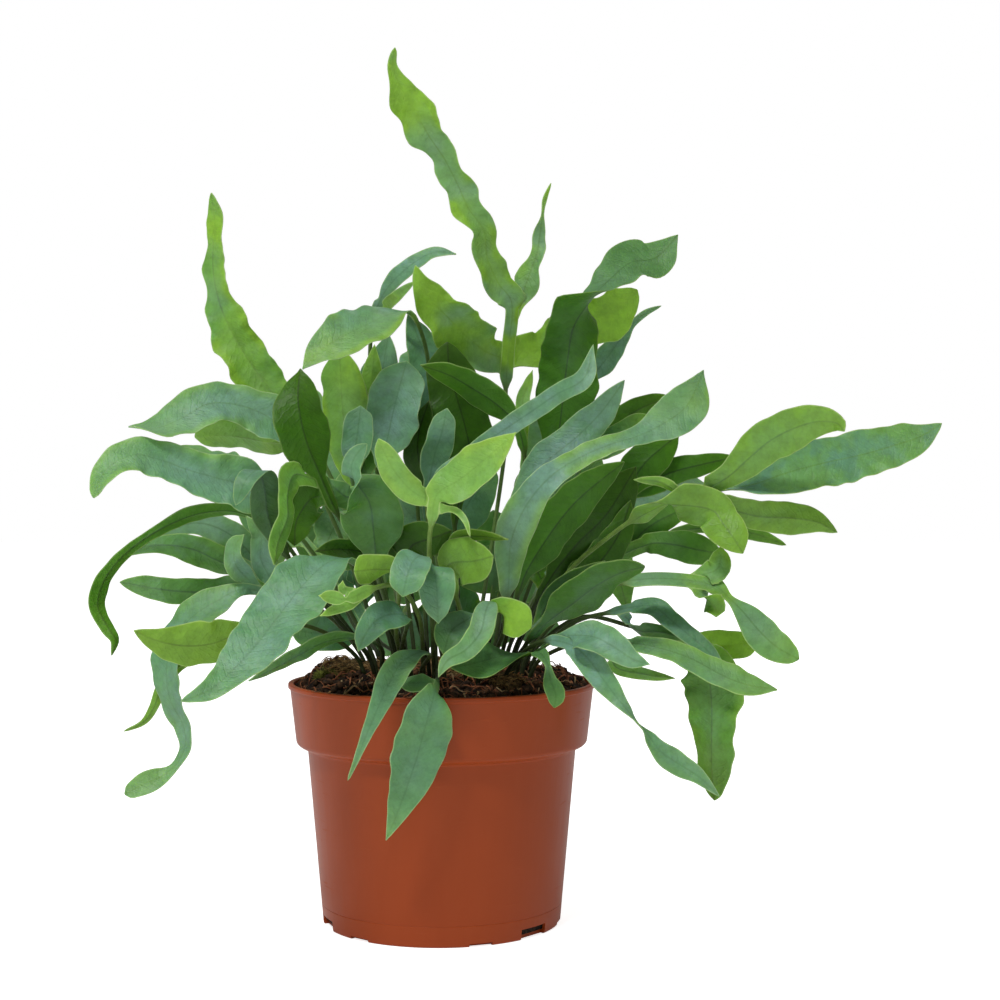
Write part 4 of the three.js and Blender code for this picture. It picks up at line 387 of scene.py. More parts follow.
        (26, 146, 60), (33, 166, 74)), blade=((39, 182, 86), (44, 198, 96), (48, 213, 106), (51, 227, 116)),
        half=9, faces="FFR FU", step=7, lobes=(Lobe(0.2, ((31, 131, 52), (41, 135, 54), (50, 142, 56)),
        round=8.5, look=(0.1, 0.45, 0.4)), Lobe(0.4, ((17, 136, 50), (11, 138, 50), (4, 144, 50)), round=9,
        look=(0.1, 0.45, 0.4)), Lobe(0.8, ((44, 164, 66), (54, 172, 62), (62, 182, 58)), round=8,
        look=(0.1, 0.45, 0.4)))),
    Frond("frond_rear_far_right", Tone.GLAUCOUS, (24, 22), stem=((32, 118, 32),), rachis=((38, 129, 38),
        (48, 144, 48), (58, 153, 58)), blade=((68, 161, 70), (80, 168, 84), (94, 171, 98), (107, 168, 114)),
        half=9, faces="FU", step=7, lobes=(Lobe(0.5, ((42, 154, 54), (36, 166, 58), (34, 178, 62)), round=8),
        Lobe(0.7, ((62, 144, 50), (74, 146, 46)), half=6))),
    Frond("frond_rear_far_left", Tone.GREEN, (-24, 20), stem=((-34, 114, 32),), rachis=((-40, 126, 38),
        (-50, 143, 48), (-60, 154, 58)), blade=((-71, 164, 68), (-83, 173, 80), (-96, 178, 93),
        (-109, 180, 104), (-120, 179, 114)), half=8.6, faces="FU", step=7, lobes=(Lobe(0.25, ((-54, 128, 32),
        (-64, 130, 28), (-73, 134, 24)), half=7.5), Lobe(0.5, ((-42, 154, 54), (-36, 166, 58),
        (-34, 178, 62)), round=8), Lobe(0.75, ((-66, 150, 50), (-74, 158, 46), (-80, 168, 44)), half=6.5))),
    Frond("frond_rear_low_left", Tone.GLAUCOUS, (-14, 34), stem=((-24, 108, 50),), rachis=((-30, 116, 60),
        (-38, 132, 78)), blade=((-45, 145, 94), (-53, 152, 108), (-62, 151, 122), (-68, 141, 134),
        (-72, 127, 142)), half=9.6, faces="FU FU U BU", step=7, lobes=(Lobe(0.3, ((-42, 113, 58),
        (-52, 112, 56), (-60, 114, 54)), half=8), Lobe(0.6, ((-28, 136, 84), (-22, 148, 90), (-18, 160, 94)),
        round=9))),
    Frond("frond_rear_low_right", Tone.GREEN, (12, 36), stem=((22, 108, 52),), rachis=((28, 116, 62),
        (36, 130, 78)), blade=((44, 142, 94), (53, 148, 108), (62, 145, 122), (69, 134, 134), (73, 120, 142)),
        half=9.6, faces="FU FU U BU", step=7, lobes=(Lobe(0.3, ((38, 114, 62), (47, 113, 60)), half=7.5),
        Lobe(0.6, ((26, 136, 86), (22, 148, 92), (20, 160, 96)), round=9))),
)


# ---------------------------------------------------------------- small mathematics

# A length too short to divide by.
TINY = 1e-12

LETTERS = {"F": (0, -1, 0), "B": (0, 1, 0), "L": (-1, 0, 0), "R": (1, 0, 0), "U": (0, 0, 1), "D": (0, 0, -1)}


def ease(x: Array | float) -> Array:
    """Rises smoothly from 0 to 1 as x goes from 0 to 1: x squared times (3 - 2x)."""
    s = np.clip(x, 0.0, 1.0)
    return s * s * (3 - 2 * s)


def unit(v: Array) -> Array:
    """Each vector of an array divided by its length."""
    return v / np.maximum(np.linalg.norm(v, axis=-1, keepdims=True), TINY)


def reach_of(depth: Array | float) -> Array | float:
    """How much larger a thing at that depth is than it is seen: its distance over the pot axis's distance."""
    return (depth - EYE[1]) / -EYE[1]


def seen(point: Point) -> Array:
    """The true place of a seen point: the eye plus the offset on the axis plane times the reach.

    Args:
        point: how far across and up it is seen, and its depth.

    Returns:
        (3,) the place in millimetres.
    """
    across, up, depth = point
    reach = reach_of(depth)
    return np.array([EYE[0] + (across - EYE[0]) * reach, depth, EYE[2] + (up - EYE[2]) * reach])


def facings(words: str) -> Array:
    """The unit directions that a string such as "F FU U" names, each the sum of its letters' axes."""
    sums = [np.sum([LETTERS[letter] for letter in word], axis=0) for word in words.split()]
    return unit(np.array(sums, float))


def between(values: Array, share: Array) -> Array:
    """Straight mixes of the rows of a list at shares from 0 to 1 of the way along it.

    Args:
        values: (n, 3) rows, evenly spread.
        share: (k,) shares, clipped to 0..1.

    Returns:
        (k, 3) rows.
    """
    if len(values) == 1:
        return np.repeat(values, len(share), axis=0)
    place = np.clip(share, 0, 1) * (len(values) - 1)
    low = np.minimum(place.astype(int), len(values) - 2)
    part = (place - low)[:, None]
    return values[low] * (1 - part) + values[low + 1] * part


def width_at(shape: Frond | Lobe, share: Array) -> Array:
    """The seen half width, a uniform Catmull-Rom curve through evenly spread widths.

    Args:
        shape: what gives the widths.
        share: (k,) shares of the length.

    Returns:
        (k,) half widths in millimetres.
    """
    plain = [w * shape.round for w in ROUNDED] if shape.round else [w * shape.half for w in POINTED]
    knots = np.array(shape.widths or plain, float)
    last = len(knots) - 1
    place = np.clip(share, 0, 1) * last
    low = np.minimum(place.astype(int), last)
    w = place - low
    p0, p1 = knots[np.maximum(low - 1, 0)], knots[low]
    p2, p3 = knots[np.minimum(low + 1, last)], knots[np.minimum(low + 2, last)]
    v0, v1 = (p2 - p0) / 2, (p3 - p1) / 2
    return (2 * p1 - 2 * p2 + v0 + v1) * w**3 + (-3 * p1 + 3 * p2 - 2 * v0 - v1) * w**2 + v0 * w + p1


def rough(x: Array, y: Array, size: float, octaves: int) -> Array:
    """A crumbly field: products of turned and bent sines, each octave half as long and 0.6 as high.

    Args:
        x: places across.
        y: places along.
        size: the length of the longest wave.
        octaves: how many layers are summed.

    Returns:
        The field at each place, mostly in -1..1.
    """
    total, height, scale = np.zeros_like(x), 1.0, 2 * math.pi / size
    for octave in range(octaves):
        turn = 1.1 + 2.4 * octave
        u = x * math.cos(turn) - y * math.sin(turn)
        v = x * math.sin(turn) + y * math.cos(turn)
        bend = np.sin(0.6 * scale * v + 1.7 * octave)
        wave = np.sin(scale * u + 1.3 * bend) * np.cos(0.9 * scale * v + 0.8 * bend + octave)
        total = total + height * wave
        height, scale = height * 0.6, scale * 2.03
    return total


class Course:
    """A smooth line through points: a centripetal Catmull-Rom spline read by its share of length."""

    SAMPLES = 200
    NUDGE = 1e-3

    def __init__(self, points: list[Array]) -> None:
        """Keeps the points and measures the line at evenly spread parameters."""
        self.points = np.array(points, float)
        self.shares = np.linspace(0, 1, self.SAMPLES + 1)
        steps = np.linalg.norm(np.diff(self.at(self.shares), axis=0), axis=1)
        self.lengths = np.concatenate([[0.0], np.cumsum(steps)])
        self.length = float(self.lengths[-1])

    def at(self, t: Array) -> Array:
        """The points at parameters t: a cubic through each span, its tangents scaled by root chord lengths.

        Args:
            t: (k,) parameters from 0 to 1.

        Returns:
            (k, 3) points.
        """
        points, last = self.points, len(self.points) - 1
        padded = np.vstack([2 * points[0] - points[1], points, 2 * points[-1] - points[-2]])
        place = np.clip(t, 0, 1) * last
        low = np.minimum(place.astype(int), last - 1)
        w = (place - low)[:, None]
        p0, p1, p2, p3 = (padded[low + k] for k in range(4))
        spans = ((p0, p1), (p1, p2), (p2, p3))
        d0, d1, d2 = (np.sqrt(np.linalg.norm(b - a, axis=1))[:, None] for a, b in spans)
        m1 = ((p1 - p0) / d0 - (p2 - p0) / (d0 + d1) + (p2 - p1) / d1) * d1
        m2 = ((p2 - p1) / d1 - (p3 - p1) / (d1 + d2) + (p3 - p2) / d2) * d1
        return p1 + m1 * w + (-3 * p1 + 3 * p2 - 2 * m1 - m2) * w**2 + (2 * p1 - 2 * p2 + m1 + m2) * w**3

    def at_knot(self, knot: int) -> float:
        """The share of length at which the line passes its knot of that number."""
        sample = int(self.SAMPLES * knot / (len(self.points) - 1) + 0.5)
        return float(self.lengths[sample] / self.length)

    def frame(self, u: Array, face: Array) -> Fields:
        """Where a thin blade lies at shares of length.

        The tangent is a central difference. Across is tangent times face, and normal is across times tangent,
        both made unit length.

        Args:
            u: (k,) shares of length.
            face: (k, 3) directions that the upper side looks in.

        Returns:
            Arrays `centre`, `across` and `normal`, each (k, 3).
        """
        t = np.interp(np.clip(u, 0, 1) * self.length, self.lengths, self.shares)
        tangent = unit(self.at(t + self.NUDGE) - self.at(t - self.NUDGE))
        across = unit(np.cross(tangent, face))
        return {"centre": self.at(t), "across": across, "normal": unit(np.cross(across, tangent))}


# ---------------------------------------------------------------- meshes


def make_mesh(name: str, places: Array, faces: list[Array], facts: Fields | None = None) -> Mesh:
    """Puts whole arrays into a mesh.

    Args:
        name: the mesh's name.
        places: (n, 3) vertices in millimetres.
        faces: arrays of vertex numbers, each (m, corners), facing outwards.
        facts: vertex attributes by name, each (n, 3).

    Returns:
        The mesh, smooth shaded, in metres.
    """
    mesh = bpy.data.meshes.new(name)
    mesh.vertices.add(len(places))
    mesh.vertices.foreach_set("co", (places * MM).astype(np.float32).ravel())
    corners = np.concatenate([f.ravel() for f in faces]).astype(np.int32)
    sizes = np.concatenate([np.full(len(f), f.shape[1]) for f in faces])
    mesh.loops.add(len(corners))
    mesh.loops.foreach_set("vertex_index", corners)
    mesh.polygons.add(len(sizes))
    mesh.polygons.foreach_set("loop_start", (np.cumsum(sizes) - sizes).astype(np.int32))
    mesh.polygons.foreach_set("use_smooth", np.ones(len(sizes), bool))
    for fact, values in (facts or {}).items():
        attribute = mesh.attributes.new(fact, "FLOAT_VECTOR", "POINT")
        attribute.data.foreach_set("vector", values.astype(np.float32).ravel())
    mesh.update(calc_edges=True)
    mesh.validate()
    return mesh


def add_piece(name: str, mesh: Mesh, material: Material, slot: str, *nodes: str) -> None:
    """Makes a piece of the plant from a mesh, with its finish, on the body.

    Args:
        name: the piece's name.
        mesh: its mesh, in place.
        material: its finish.
        slot: the material slot of the record; not used.
        nodes: the CAD nodes that it stands in for.
    """
    mesh.materials.append(material)
    piece = bpy.data.objects.new(name, mesh)
    bpy.context.scene.collection.objects.link(piece)
    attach(piece, "root")
    if nodes:
        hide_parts(*nodes)
    log.info("%s: %d faces", name, len(mesh.polygons))


def grid_quads(ids: Array) -> Array:
    """The quads of a grid of vertex numbers, each round from (row, column) by (row, next column)."""
    return np.stack([ids[:-1, :-1], ids[:-1, 1:], ids[1:, 1:], ids[1:, :-1]], axis=-1).reshape(-1, 4)


def lathe(profile: Array, sides: int) -> tuple[Array, list[Array]]:
    """A closed body turned about Z: (r cos a, r sin a, z) for each profile point and angle, and two poles.

    Args:
        profile: (k, 2) radius and height, counter-clockwise, first and last point on the axis.
        sides: how many steps there are in a turn.

    Returns:
        The places in millimetres and the face arrays.
    """
    angle = np.arange(sides) * 2 * math.pi / sides
    radius, height = profile[1:-1, :1], profile[1:-1, 1:]
    rings = np.stack([radius * np.cos(angle), radius * np.sin(angle), height + 0 * angle], axis=-1)
    count = rings.shape[0] * sides
    poles = np.array([[0, 0, profile[0, 1]], [0, 0, profile[-1, 1]]])
    ids = np.arange(count).reshape(-1, sides)
    ids = np.concatenate([ids, ids[:, :1]], axis=1)
    foot = np.stack([np.full(sides, count), ids[0, 1:], ids[0, :-1]], axis=-1)
    head = np.stack([np.full(sides, count + 1), ids[-1, :-1], ids[-1, 1:]], axis=-1)
    return np.concatenate([rings.reshape(-1, 3), poles]), [grid_quads(ids), foot, head]


def softened(corners: list[tuple[float, float, float]]) -> Array:
    """A profile whose corners are rounded: each becomes a parabola from one of its sides to the other.

    Args:
        corners: radius, height and how far the rounding reaches, for each corner.

    Returns:
        (k, 2) radius and height along the rounded profile.
    """
    points = np.array([corner[:2] for corner in corners], float)
    out = [points[:1]]
    steps = np.linspace(0, 1, 5)[:, None]
    for i in range(1, len(points) - 1):
        size = corners[i][2]
        before = points[i] + unit(points[i - 1] - points[i]) * size
        after = points[i] + unit(points[i + 1] - points[i]) * size
        out.append(before * (1 - steps) ** 2 + 2 * points[i] * steps * (1 - steps) + after * steps**2)
    return np.concatenate(out + [points[-1:]])


def tubes(paths: Array, radii: Array, sides: int) -> tuple[Array, list[Array]]:
    """Many thin closed tubes at once: round each path point, radius times (cos a, sin a) across the path.

    Args:
        paths: (n, k, 3) points of n paths in millimetres.
        radii: (n, k) radii.
        sides: how many sides each tube has.

    Returns:
        The places and the face arrays, side walls and two end caps.
    """
    tangent = unit(np.gradient(paths, axis=1))
    helper = np.where(np.abs(tangent[..., 2:]) > 0.9, [1.0, 0.0, 0.0], [0.0, 0.0, 1.0])
    side = unit(np.cross(tangent, helper))
    other = np.cross(tangent, side)
    angle = np.arange(sides) * 2 * math.pi / sides
    ring = side[:, :, None] * np.cos(angle)[:, None] + other[:, :, None] * np.sin(angle)[:, None]
    places = paths[:, :, None] + ring * radii[:, :, None, None]
    ids = np.arange(places.size // 3).reshape(places.shape[:3])
    nearer, further = ids[:, :-1], ids[:, 1:]
    walls = np.stack([nearer, np.roll(nearer, -1, 2), np.roll(further, -1, 2), further], axis=-1)
    return places.reshape(-1, 3), [walls.reshape(-1, 4), ids[:, 0, ::-1], ids[:, -1]]


# ---------------------------------------------------------------- node trees


class Graph:
    """Adds nodes to a tree and joins them, so that a material reads as a formula."""

    def __init__(self, tree: Tree) -> None:
        """Keeps the tree."""
        self.tree = tree

    def node(self, kind: str, sockets: dict | None = None, **settings: object) -> Node:
        """Adds a node.

        Args:
            kind: the node's type.
            sockets: values or links for its sockets, by name or number.
            settings: values for the node's own settings.

        Returns:
            The node.
        """
        node = self.tree.nodes.new(kind)
        for key, value in settings.items():
            setattr(node, key, value)
        for key, value in (sockets or {}).items():
            self.feed(node.inputs[key], value)
        return node

    def feed(self, socket: Socket, value: object) -> None:
        """Feeds a socket.

        Args:
            socket: what is fed.
            value: another node's output to link, or a value to set.
        """
        if isinstance(value, Socket):
            self.tree.links.new(value, socket)
        elif isinstance(value, tuple) and socket.type == "RGBA":
            socket.default_value = (*value, 1.0)
        else:
            socket.default_value = value

    def math(self, operation: str, *values: object) -> Socket:
        """One step of arithmetic."""
        return self.node("ShaderNodeMath", dict(enumerate(values)), operation=operation).outputs[0]

    def mix(self, share: object, low: object, high: object) -> Socket:
        """A mix of two colours: low times (1 - share) plus high times share."""
        return self.node("ShaderNodeMix", {0: share, 6: low, 7: high}, data_type="RGBA").outputs[2]

    def band(self, value: object, low: float, high: float, start: float = 0.0, end: float = 1.0) -> Socket:
        """Goes smoothly from start to end as the value goes from low to high."""
        sockets = {0: value, 1: low, 2: high, 3: start, 4: end}
        return self.node("ShaderNodeMapRange", sockets, interpolation_type="SMOOTHSTEP").outputs[0]

    def noise(self, vector: object, scale: object, detail: float = 3.0, roughness: float = 0.55) -> Socket:
        """Noise about 0.5, with that many features a metre."""
        sockets = {"Vector": vector, "Scale": scale, "Detail": detail, "Roughness": roughness}
        return self.node("ShaderNodeTexNoise", sockets).outputs[0]

    def parts(self, vector: object) -> tuple[Socket, ...]:
        """The three parts of a vector."""
        return tuple(self.node("ShaderNodeSeparateXYZ", {0: vector}).outputs)

    def attribute(self, name: str) -> tuple[Socket, ...]:
        """The three parts of a piece's own attribute."""
        return self.parts(self.node("ShaderNodeAttribute", attribute_name=name).outputs["Vector"])

    def place(self) -> Socket:
        """The Object coordinates."""
        return self.node("ShaderNodeTexCoord").outputs["Object"]


def new_group(
    name: str, inputs: dict[str, object], outputs: dict[str, str]
) -> tuple[Graph, dict[str, Socket], Node]:
    """Starts a shader node group.

    Args:
        name: the group's name.
        inputs: each input's name and its usual value, a colour or a number.
        outputs: each output's name and socket type.

    Returns:
        The graph, its inputs by name, and the node that takes its outputs.
    """
    tree = bpy.data.node_groups.new(name, "ShaderNodeTree")
    for key, value in inputs.items():
        kind = "NodeSocketColor" if isinstance(value, tuple) else "NodeSocketFloat"
        socket = tree.interface.new_socket(name=key, in_out="INPUT", socket_type=kind)
        socket.default_value = (*value, 1.0) if isinstance(value, tuple) else value
    for key, kind in outputs.items():
        tree.interface.new_socket(name=key, in_out="OUTPUT", socket_type=kind)
    graph = Graph(tree)
    entry = graph.node("NodeGroupInput")
    return graph, {key: entry.outputs[key] for key in inputs}, graph.node("NodeGroupOutput")


def new_material(name: str) -> tuple[Material, Graph, Node]:
    """Starts a material of that name, and gives it, its graph and its Principled shader."""
    material = bpy.data.materials.new(name)
    material.use_nodes = True
    return material, Graph(material.node_tree), material.node_tree.nodes["Principled BSDF"]


def add_bump(graph: Graph, shader: Node, height: object, depth: float) -> None:
    """Sets the shader's normal from a height, which stands for that depth in metres."""
    bump = graph.node("ShaderNodeBump", {"Height": height, "Distance": depth, "Strength": 1.0})
    graph.feed(shader.inputs["Normal"], bump.outputs[0])


# ---------------------------------------------------------------- finishes


@dataclass(frozen=True)
class LeafFinish:
    """The tissue of one tone of frond, upper side and lower side, and how light scatters in it."""

    tone: Tone
    upper: Colour
    bloomed: Colour
    lower: Colour
    upper_rib: Colour
    lower_rib: Colour
    margin: Colour
    stalk: Colour
    fresh: Colour
    roughness: float
    relief: float = 0.0004
    specular: float = 0.28
    scatter: float = 0.3
    scatter_radius: Colour = (0.7, 1.0, 0.15)
    scatter_scale: float = 0.0015

    def sockets(self) -> dict[str, object]:
        """What the tissue's group takes, by the names of its inputs."""
        return {
            "Upper": self.upper, "Bloomed": self.bloomed, "Lower": self.lower, "Upper Rib": self.upper_rib,
            "Lower Rib": self.lower_rib, "Margin": self.margin, "Stalk": self.stalk, "Fresh": self.fresh,
            "Gloss": self.roughness,
        }

    def material(self, tissue: Tree) -> Material:
        """The finish as a material.

        Args:
            tissue: the node group that `LeafTissue` makes.

        Returns:
            The material, named after the slot.
        """
        material, graph, shader = new_material(self.tone.value)
        group = graph.node("ShaderNodeGroup", self.sockets(), node_tree=tissue)
        graph.feed(shader.inputs["Base Color"], group.outputs["Color"])
        graph.feed(shader.inputs["Roughness"], group.outputs["Roughness"])
        add_bump(graph, shader, group.outputs["Height"], self.relief)
        graph.feed(shader.inputs["Specular IOR Level"], self.specular)
        graph.feed(shader.inputs["Subsurface Weight"], self.scatter)
        graph.feed(shader.inputs["Subsurface Radius"], self.scatter_radius)
        graph.feed(shader.inputs["Subsurface Scale"], self.scatter_scale)
        return material


@dataclass(frozen=True)
class LeafTissue:
    """The surface of a leaf, as a node group that every tone of frond uses.

    The attribute `leaf` holds millimetres across from the midrib, along it, and the half width there. The
    attribute `side` holds 0 above and 1 below, 1 on the stalk and 0 on the blade, and the share of the way to
    the tip. The third attribute holds how fresh the frond is, how deep the painted shade on it is, and how
    bloomed it is.
    """

    drift: Point = (34, 2)
    broad: Point = (75, 3)
    patchy: Point = (230, 3)
    fine: Point = (900, 4)
    vein_pitch: float = 3.1
    vein_slant: float = 0.8
    vein_wander: float = 5.0
    upper_vein: float = 0.03
    lower_vein: float = 0.05
    upper_rib: float = 0.45
    lower_rib: float = 0.65
    lower_bloom: float = 0.5
    pale_margin: float = 0.6
    shade_dimming: float = 0.72
    # The stalks' painted shade near the compost: its colour, the height in metres below which it is full, and
    # the height where it ends.
    stalk_shade: Colour = (0.03, 0.04, 0.014)
    stalk_shade_height: float = 0.095
    stalk_lit_height: float = 0.15

    def group(self, usual: LeafFinish) -> Tree:
        """Builds the group.

        A side vein is where along plus the slant times off plus noise, over the pitch, is near a whole
        number. Bloom is more along the midrib and in broad patches. A spot is as fresh as its frond, in
        drifting patches, and more so at the tip and margin, and the pale edging fades where the painted shade
        is deep. Stalks turn to a darker painted shade towards their feet, where they stand under the fronds.
        The value is noise, darkened by painted shade: 1 less a set strength times the frond's shade, which
        counts 0.4 above and in full below, and which also deepens the saturation.

        Args:
            usual: the finish whose values the inputs start with.

        Returns:
            The node group, with outputs Color, Roughness and Height.
        """
        graph, given, out = new_group(
            "leaf_tissue", usual.sockets(),
            {"Color": "NodeSocketColor", "Roughness": "NodeSocketFloat", "Height": "NodeSocketFloat"},
        )
        across, along, half = graph.attribute("leaf")
        under, stalk, tip = graph.attribute("side")
        fresh, shade, bloom = graph.attribute("growth_and_shade")
        place = graph.place()
        noises = (self.drift, self.broad, self.patchy, self.fine)
        drift, broad, patchy, fine = (graph.noise(place, *noise) for noise in noises)
        off = graph.math("ABSOLUTE", across)
        inset = graph.math("SUBTRACT", half, off)
        rib = graph.band(off, 0.12, 0.5, 1, 0)
        flow = graph.math("MULTIPLY_ADD", off, self.vein_slant, along)
        flow = graph.math("MULTIPLY_ADD", patchy, self.vein_wander, flow)
        turn = graph.math("FRACT", graph.math("DIVIDE", flow, self.vein_pitch))
        near = graph.math("ABSOLUTE", graph.math("SUBTRACT", turn, 0.5))
        vein = graph.math("MULTIPLY", graph.band(near, 0.3, 0.5), graph.band(inset, 0.4, 2.5))
        bloom = graph.math("MULTIPLY", bloom, graph.band(broad, 0.38, 0.62, 0.4, 1.25))
        bloom = graph.math("MINIMUM", graph.math("MULTIPLY", bloom, graph.band(off, 0.5, 8, 1.25, 0.8)), 1.0)
        upper = graph.mix(bloom, given["Upper"], given["Bloomed"])
        upper = graph.mix(graph.math("MULTIPLY", vein, self.upper_vein), upper, given["Lower Rib"])
        upper = graph.mix(graph.math("MULTIPLY", rib, self.upper_rib), upper, given["Upper Rib"])
        lower = graph.mix(graph.math("MULTIPLY", vein, self.lower_vein), given["Lower"], given["Lower Rib"])
        lower = graph.mix(graph.math("MULTIPLY", rib, self.lower_rib), lower, given["Lower Rib"])
        lower = graph.mix(graph.math("MULTIPLY", bloom, self.lower_bloom), lower, given["Bloomed"])
        colour = graph.mix(under, upper, lower)
        end = graph.math("MULTIPLY", graph.band(tip, 0.5, 1.0), graph.band(broad, 0.35, 0.65, 0.35, 1.0))
        edge = graph.math("MULTIPLY", graph.band(inset, 4.5, 0.5), graph.band(drift, 0.44, 0.62, 0.0, 0.9))
        # The pale edging fades on fronds that painted shade darkens.
        edge = graph.math("MULTIPLY", edge, graph.band(shade, 0.1, 0.6, 1.0, 0.2))
        ends = graph.math("MAXIMUM", end, edge)
        ends = graph.math("MULTIPLY", ends, graph.band(fresh, 0.0, 0.25, 0.25, 0.75))
        freshness = graph.math("MULTIPLY_ADD", fresh, graph.band(drift, 0.4, 0.62, 0.35, 1.5), ends)
        colour = graph.mix(graph.math("MINIMUM", freshness, 1.0), colour, given["Fresh"])
        colour = graph.mix(graph.band(inset, 0.5, 0.15, 0, self.pale_margin), colour, given["Margin"])
        # Painted shade: below 150 mm the stalk colour darkens, to a near-black green at 95 mm and below, where
        # the stalks stand under the fronds.
        clear = graph.band(graph.parts(place)[2], self.stalk_shade_height, self.stalk_lit_height)
        colour = graph.mix(stalk, colour, graph.mix(clear, self.stalk_shade, given["Stalk"]))
        # Painted shade: the frond's shade darkens the colour, by 0.4 of it above and all of it below, and
        # deepens the saturation.
        painted_shade = graph.math("MULTIPLY", shade, graph.math("MULTIPLY_ADD", under, 0.6, 0.4))
        painted_shade = graph.math("MINIMUM", painted_shade, 1.0)
        light = graph.math("MULTIPLY_ADD", fine, 0.35, graph.band(patchy, 0.36, 0.64, 0.76, 0.92))
        light = graph.math("MULTIPLY", light, graph.math("MULTIPLY_ADD", painted_shade, -self.shade_dimming, 1.0))
        strength = graph.math("MULTIPLY_ADD", painted_shade, 0.2, 1.0)
        shown = {"Color": colour, "Value": light, "Saturation": strength}
        graph.feed(out.inputs["Color"], graph.node("ShaderNodeHueSaturation", shown).outputs[0])
        gloss = graph.math("MULTIPLY_ADD", fine, 0.14, graph.math("SUBTRACT", given["Gloss"], 0.07))
        graph.feed(out.inputs["Roughness"], gloss)
        groove = graph.math("MULTIPLY", vein, graph.math("MULTIPLY_ADD", under, 0.3, -0.15))
        bumps = graph.math("MULTIPLY_ADD", fine, 0.3, groove)
        graph.feed(out.inputs["Height"], graph.math("MULTIPLY_ADD", patchy, 1.4, bumps))
        return graph.tree


@dataclass(frozen=True)
class GritFinish:
    """A rough natural finish: two colours mixed by grains and stains."""

    name: str
    dark: Colour
    light: Colour
    grains: float
    stains: float
    roughness: float
    depth: float
    specular: float = 0.25

    def sockets(self) -> dict[str, object]:
        """What the grit group takes, by the names of its inputs."""
        return {"Dark": self.dark, "Light": self.light, "Grains": self.grains, "Stains": self.stains}

    def material(self, group_tree: Tree) -> Material:
        """The finish as a material, from the group that `grit` makes."""
        material, graph, shader = new_material(self.name)
        group = graph.node("ShaderNodeGroup", self.sockets(), node_tree=group_tree)
        graph.feed(shader.inputs["Base Color"], group.outputs["Color"])
        graph.feed(shader.inputs["Roughness"], self.roughness)
        graph.feed(shader.inputs["Specular IOR Level"], self.specular)
        add_bump(graph, shader, group.outputs["Height"], self.depth)
        return material


def grit(usual: GritFinish) -> Tree:
    """Uneven grains and stains on a natural surface, as a group.

    Args:
        usual: the finish whose values the inputs start with.

    Returns:
        A node group that mixes Dark and Light by noise and puts out Color and Height.
    """
    graph, given, out = new_group(
        "grit", usual.sockets(), {"Color": "NodeSocketColor", "Height": "NodeSocketFloat"}
    )
    place = graph.place()
    grains = graph.noise(place, given["Grains"], 5, 0.65)
    stains = graph.noise(place, given["Stains"], 3)
    share = graph.math("MULTIPLY", graph.band(grains, 0.38, 0.68), graph.band(stains, 0.3, 0.7, 0.3, 1))
    graph.feed(out.inputs["Color"], graph.mix(share, given["Dark"], given["Light"]))
    graph.feed(out.inputs["Height"], grains)
    return graph.tree


@dataclass(frozen=True)
class PotFinish:
    """Moulded plastic: an even colour with faint upright flow streaks, fine scuffs and slow clouds."""

    colour: Colour = (0.33, 0.052, 0.008)
    pale: Colour = (0.44, 0.1, 0.033)
    roughness: float = 0.38
    specular: float = 0.2
    relief: float = 0.00006
    streak_scale: Colour = (1.0, 1.0, 0.06)
    scuff_scale: Colour = (0.2, 0.2, 1.6)

    def material(self) -> Material:
        """The finish as a material.

        Streaks are noise that is 17 times finer round the pot than up it. Scuffs are stretched the other way.

        Returns:
            The material, named after the slot.
        """
        material, graph, shader = new_material("pot_plastic")
        place = graph.place()
        upright = graph.node("ShaderNodeMapping", {"Vector": place, "Scale": self.streak_scale}).outputs[0]
        level = graph.node("ShaderNodeMapping", {"Vector": place, "Scale": self.scuff_scale}).outputs[0]
        streak = graph.noise(upright, 260, 3)
        scuff = graph.band(graph.noise(level, 420, 4), 0.62, 0.72)
        cloud = graph.noise(place, 25, 2)
        colour = graph.mix(graph.math("MULTIPLY", streak, 0.14), self.colour, self.pale)
        colour = graph.mix(graph.math("MULTIPLY", scuff, 0.12), colour, self.pale)
        light = graph.math("MULTIPLY_ADD", cloud, 0.16, 0.92)
        tone = graph.node("ShaderNodeHueSaturation", {"Color": colour, "Value": light})
        graph.feed(shader.inputs["Base Color"], tone.outputs[0])
        gloss = graph.math("MULTIPLY_ADD", streak, 0.12, self.roughness - 0.06)
        graph.feed(shader.inputs["Roughness"], graph.math("MULTIPLY_ADD", scuff, 0.12, gloss))
        add_bump(graph, shader, graph.math("MULTIPLY_ADD", scuff, 0.3, streak), self.relief)
        graph.feed(shader.inputs["Specular IOR Level"], self.specular)
        return material


# The stalk colours are the stalks' own green, darkened in part as painted shade for the stalks that stand under
# the fronds.
LEAF_FINISHES = (
    LeafFinish(
        Tone.GLAUCOUS, upper=(0.115, 0.29, 0.115), bloomed=(0.175, 0.335, 0.255), lower=(0.13, 0.31, 0.06),
        upper_rib=(0.09, 0.21, 0.1), lower_rib=(0.05, 0.12, 0.03), margin=(0.38, 0.55, 0.26),
        stalk=(0.1, 0.18, 0.04), fresh=(0.22, 0.42, 0.06), roughness=0.46,
    ),
    LeafFinish(
        Tone.GREEN, upper=(0.125, 0.3, 0.09), bloomed=(0.19, 0.345, 0.22), lower=(0.11, 0.3, 0.035),
        upper_rib=(0.07, 0.17, 0.05), lower_rib=(0.03, 0.07, 0.016), margin=(0.38, 0.55, 0.2),
        stalk=(0.1, 0.18, 0.04), fresh=(0.22, 0.42, 0.035), roughness=0.5,
    ),
    LeafFinish(
        Tone.YOUNG, upper=(0.19, 0.4, 0.075), bloomed=(0.15, 0.33, 0.19), lower=(0.22, 0.42, 0.055),
        upper_rib=(0.13, 0.28, 0.05), lower_rib=(0.1, 0.2, 0.03), margin=(0.45, 0.62, 0.22),
        stalk=(0.17, 0.28, 0.06), fresh=(0.27, 0.47, 0.06), roughness=0.42,
    ),
)

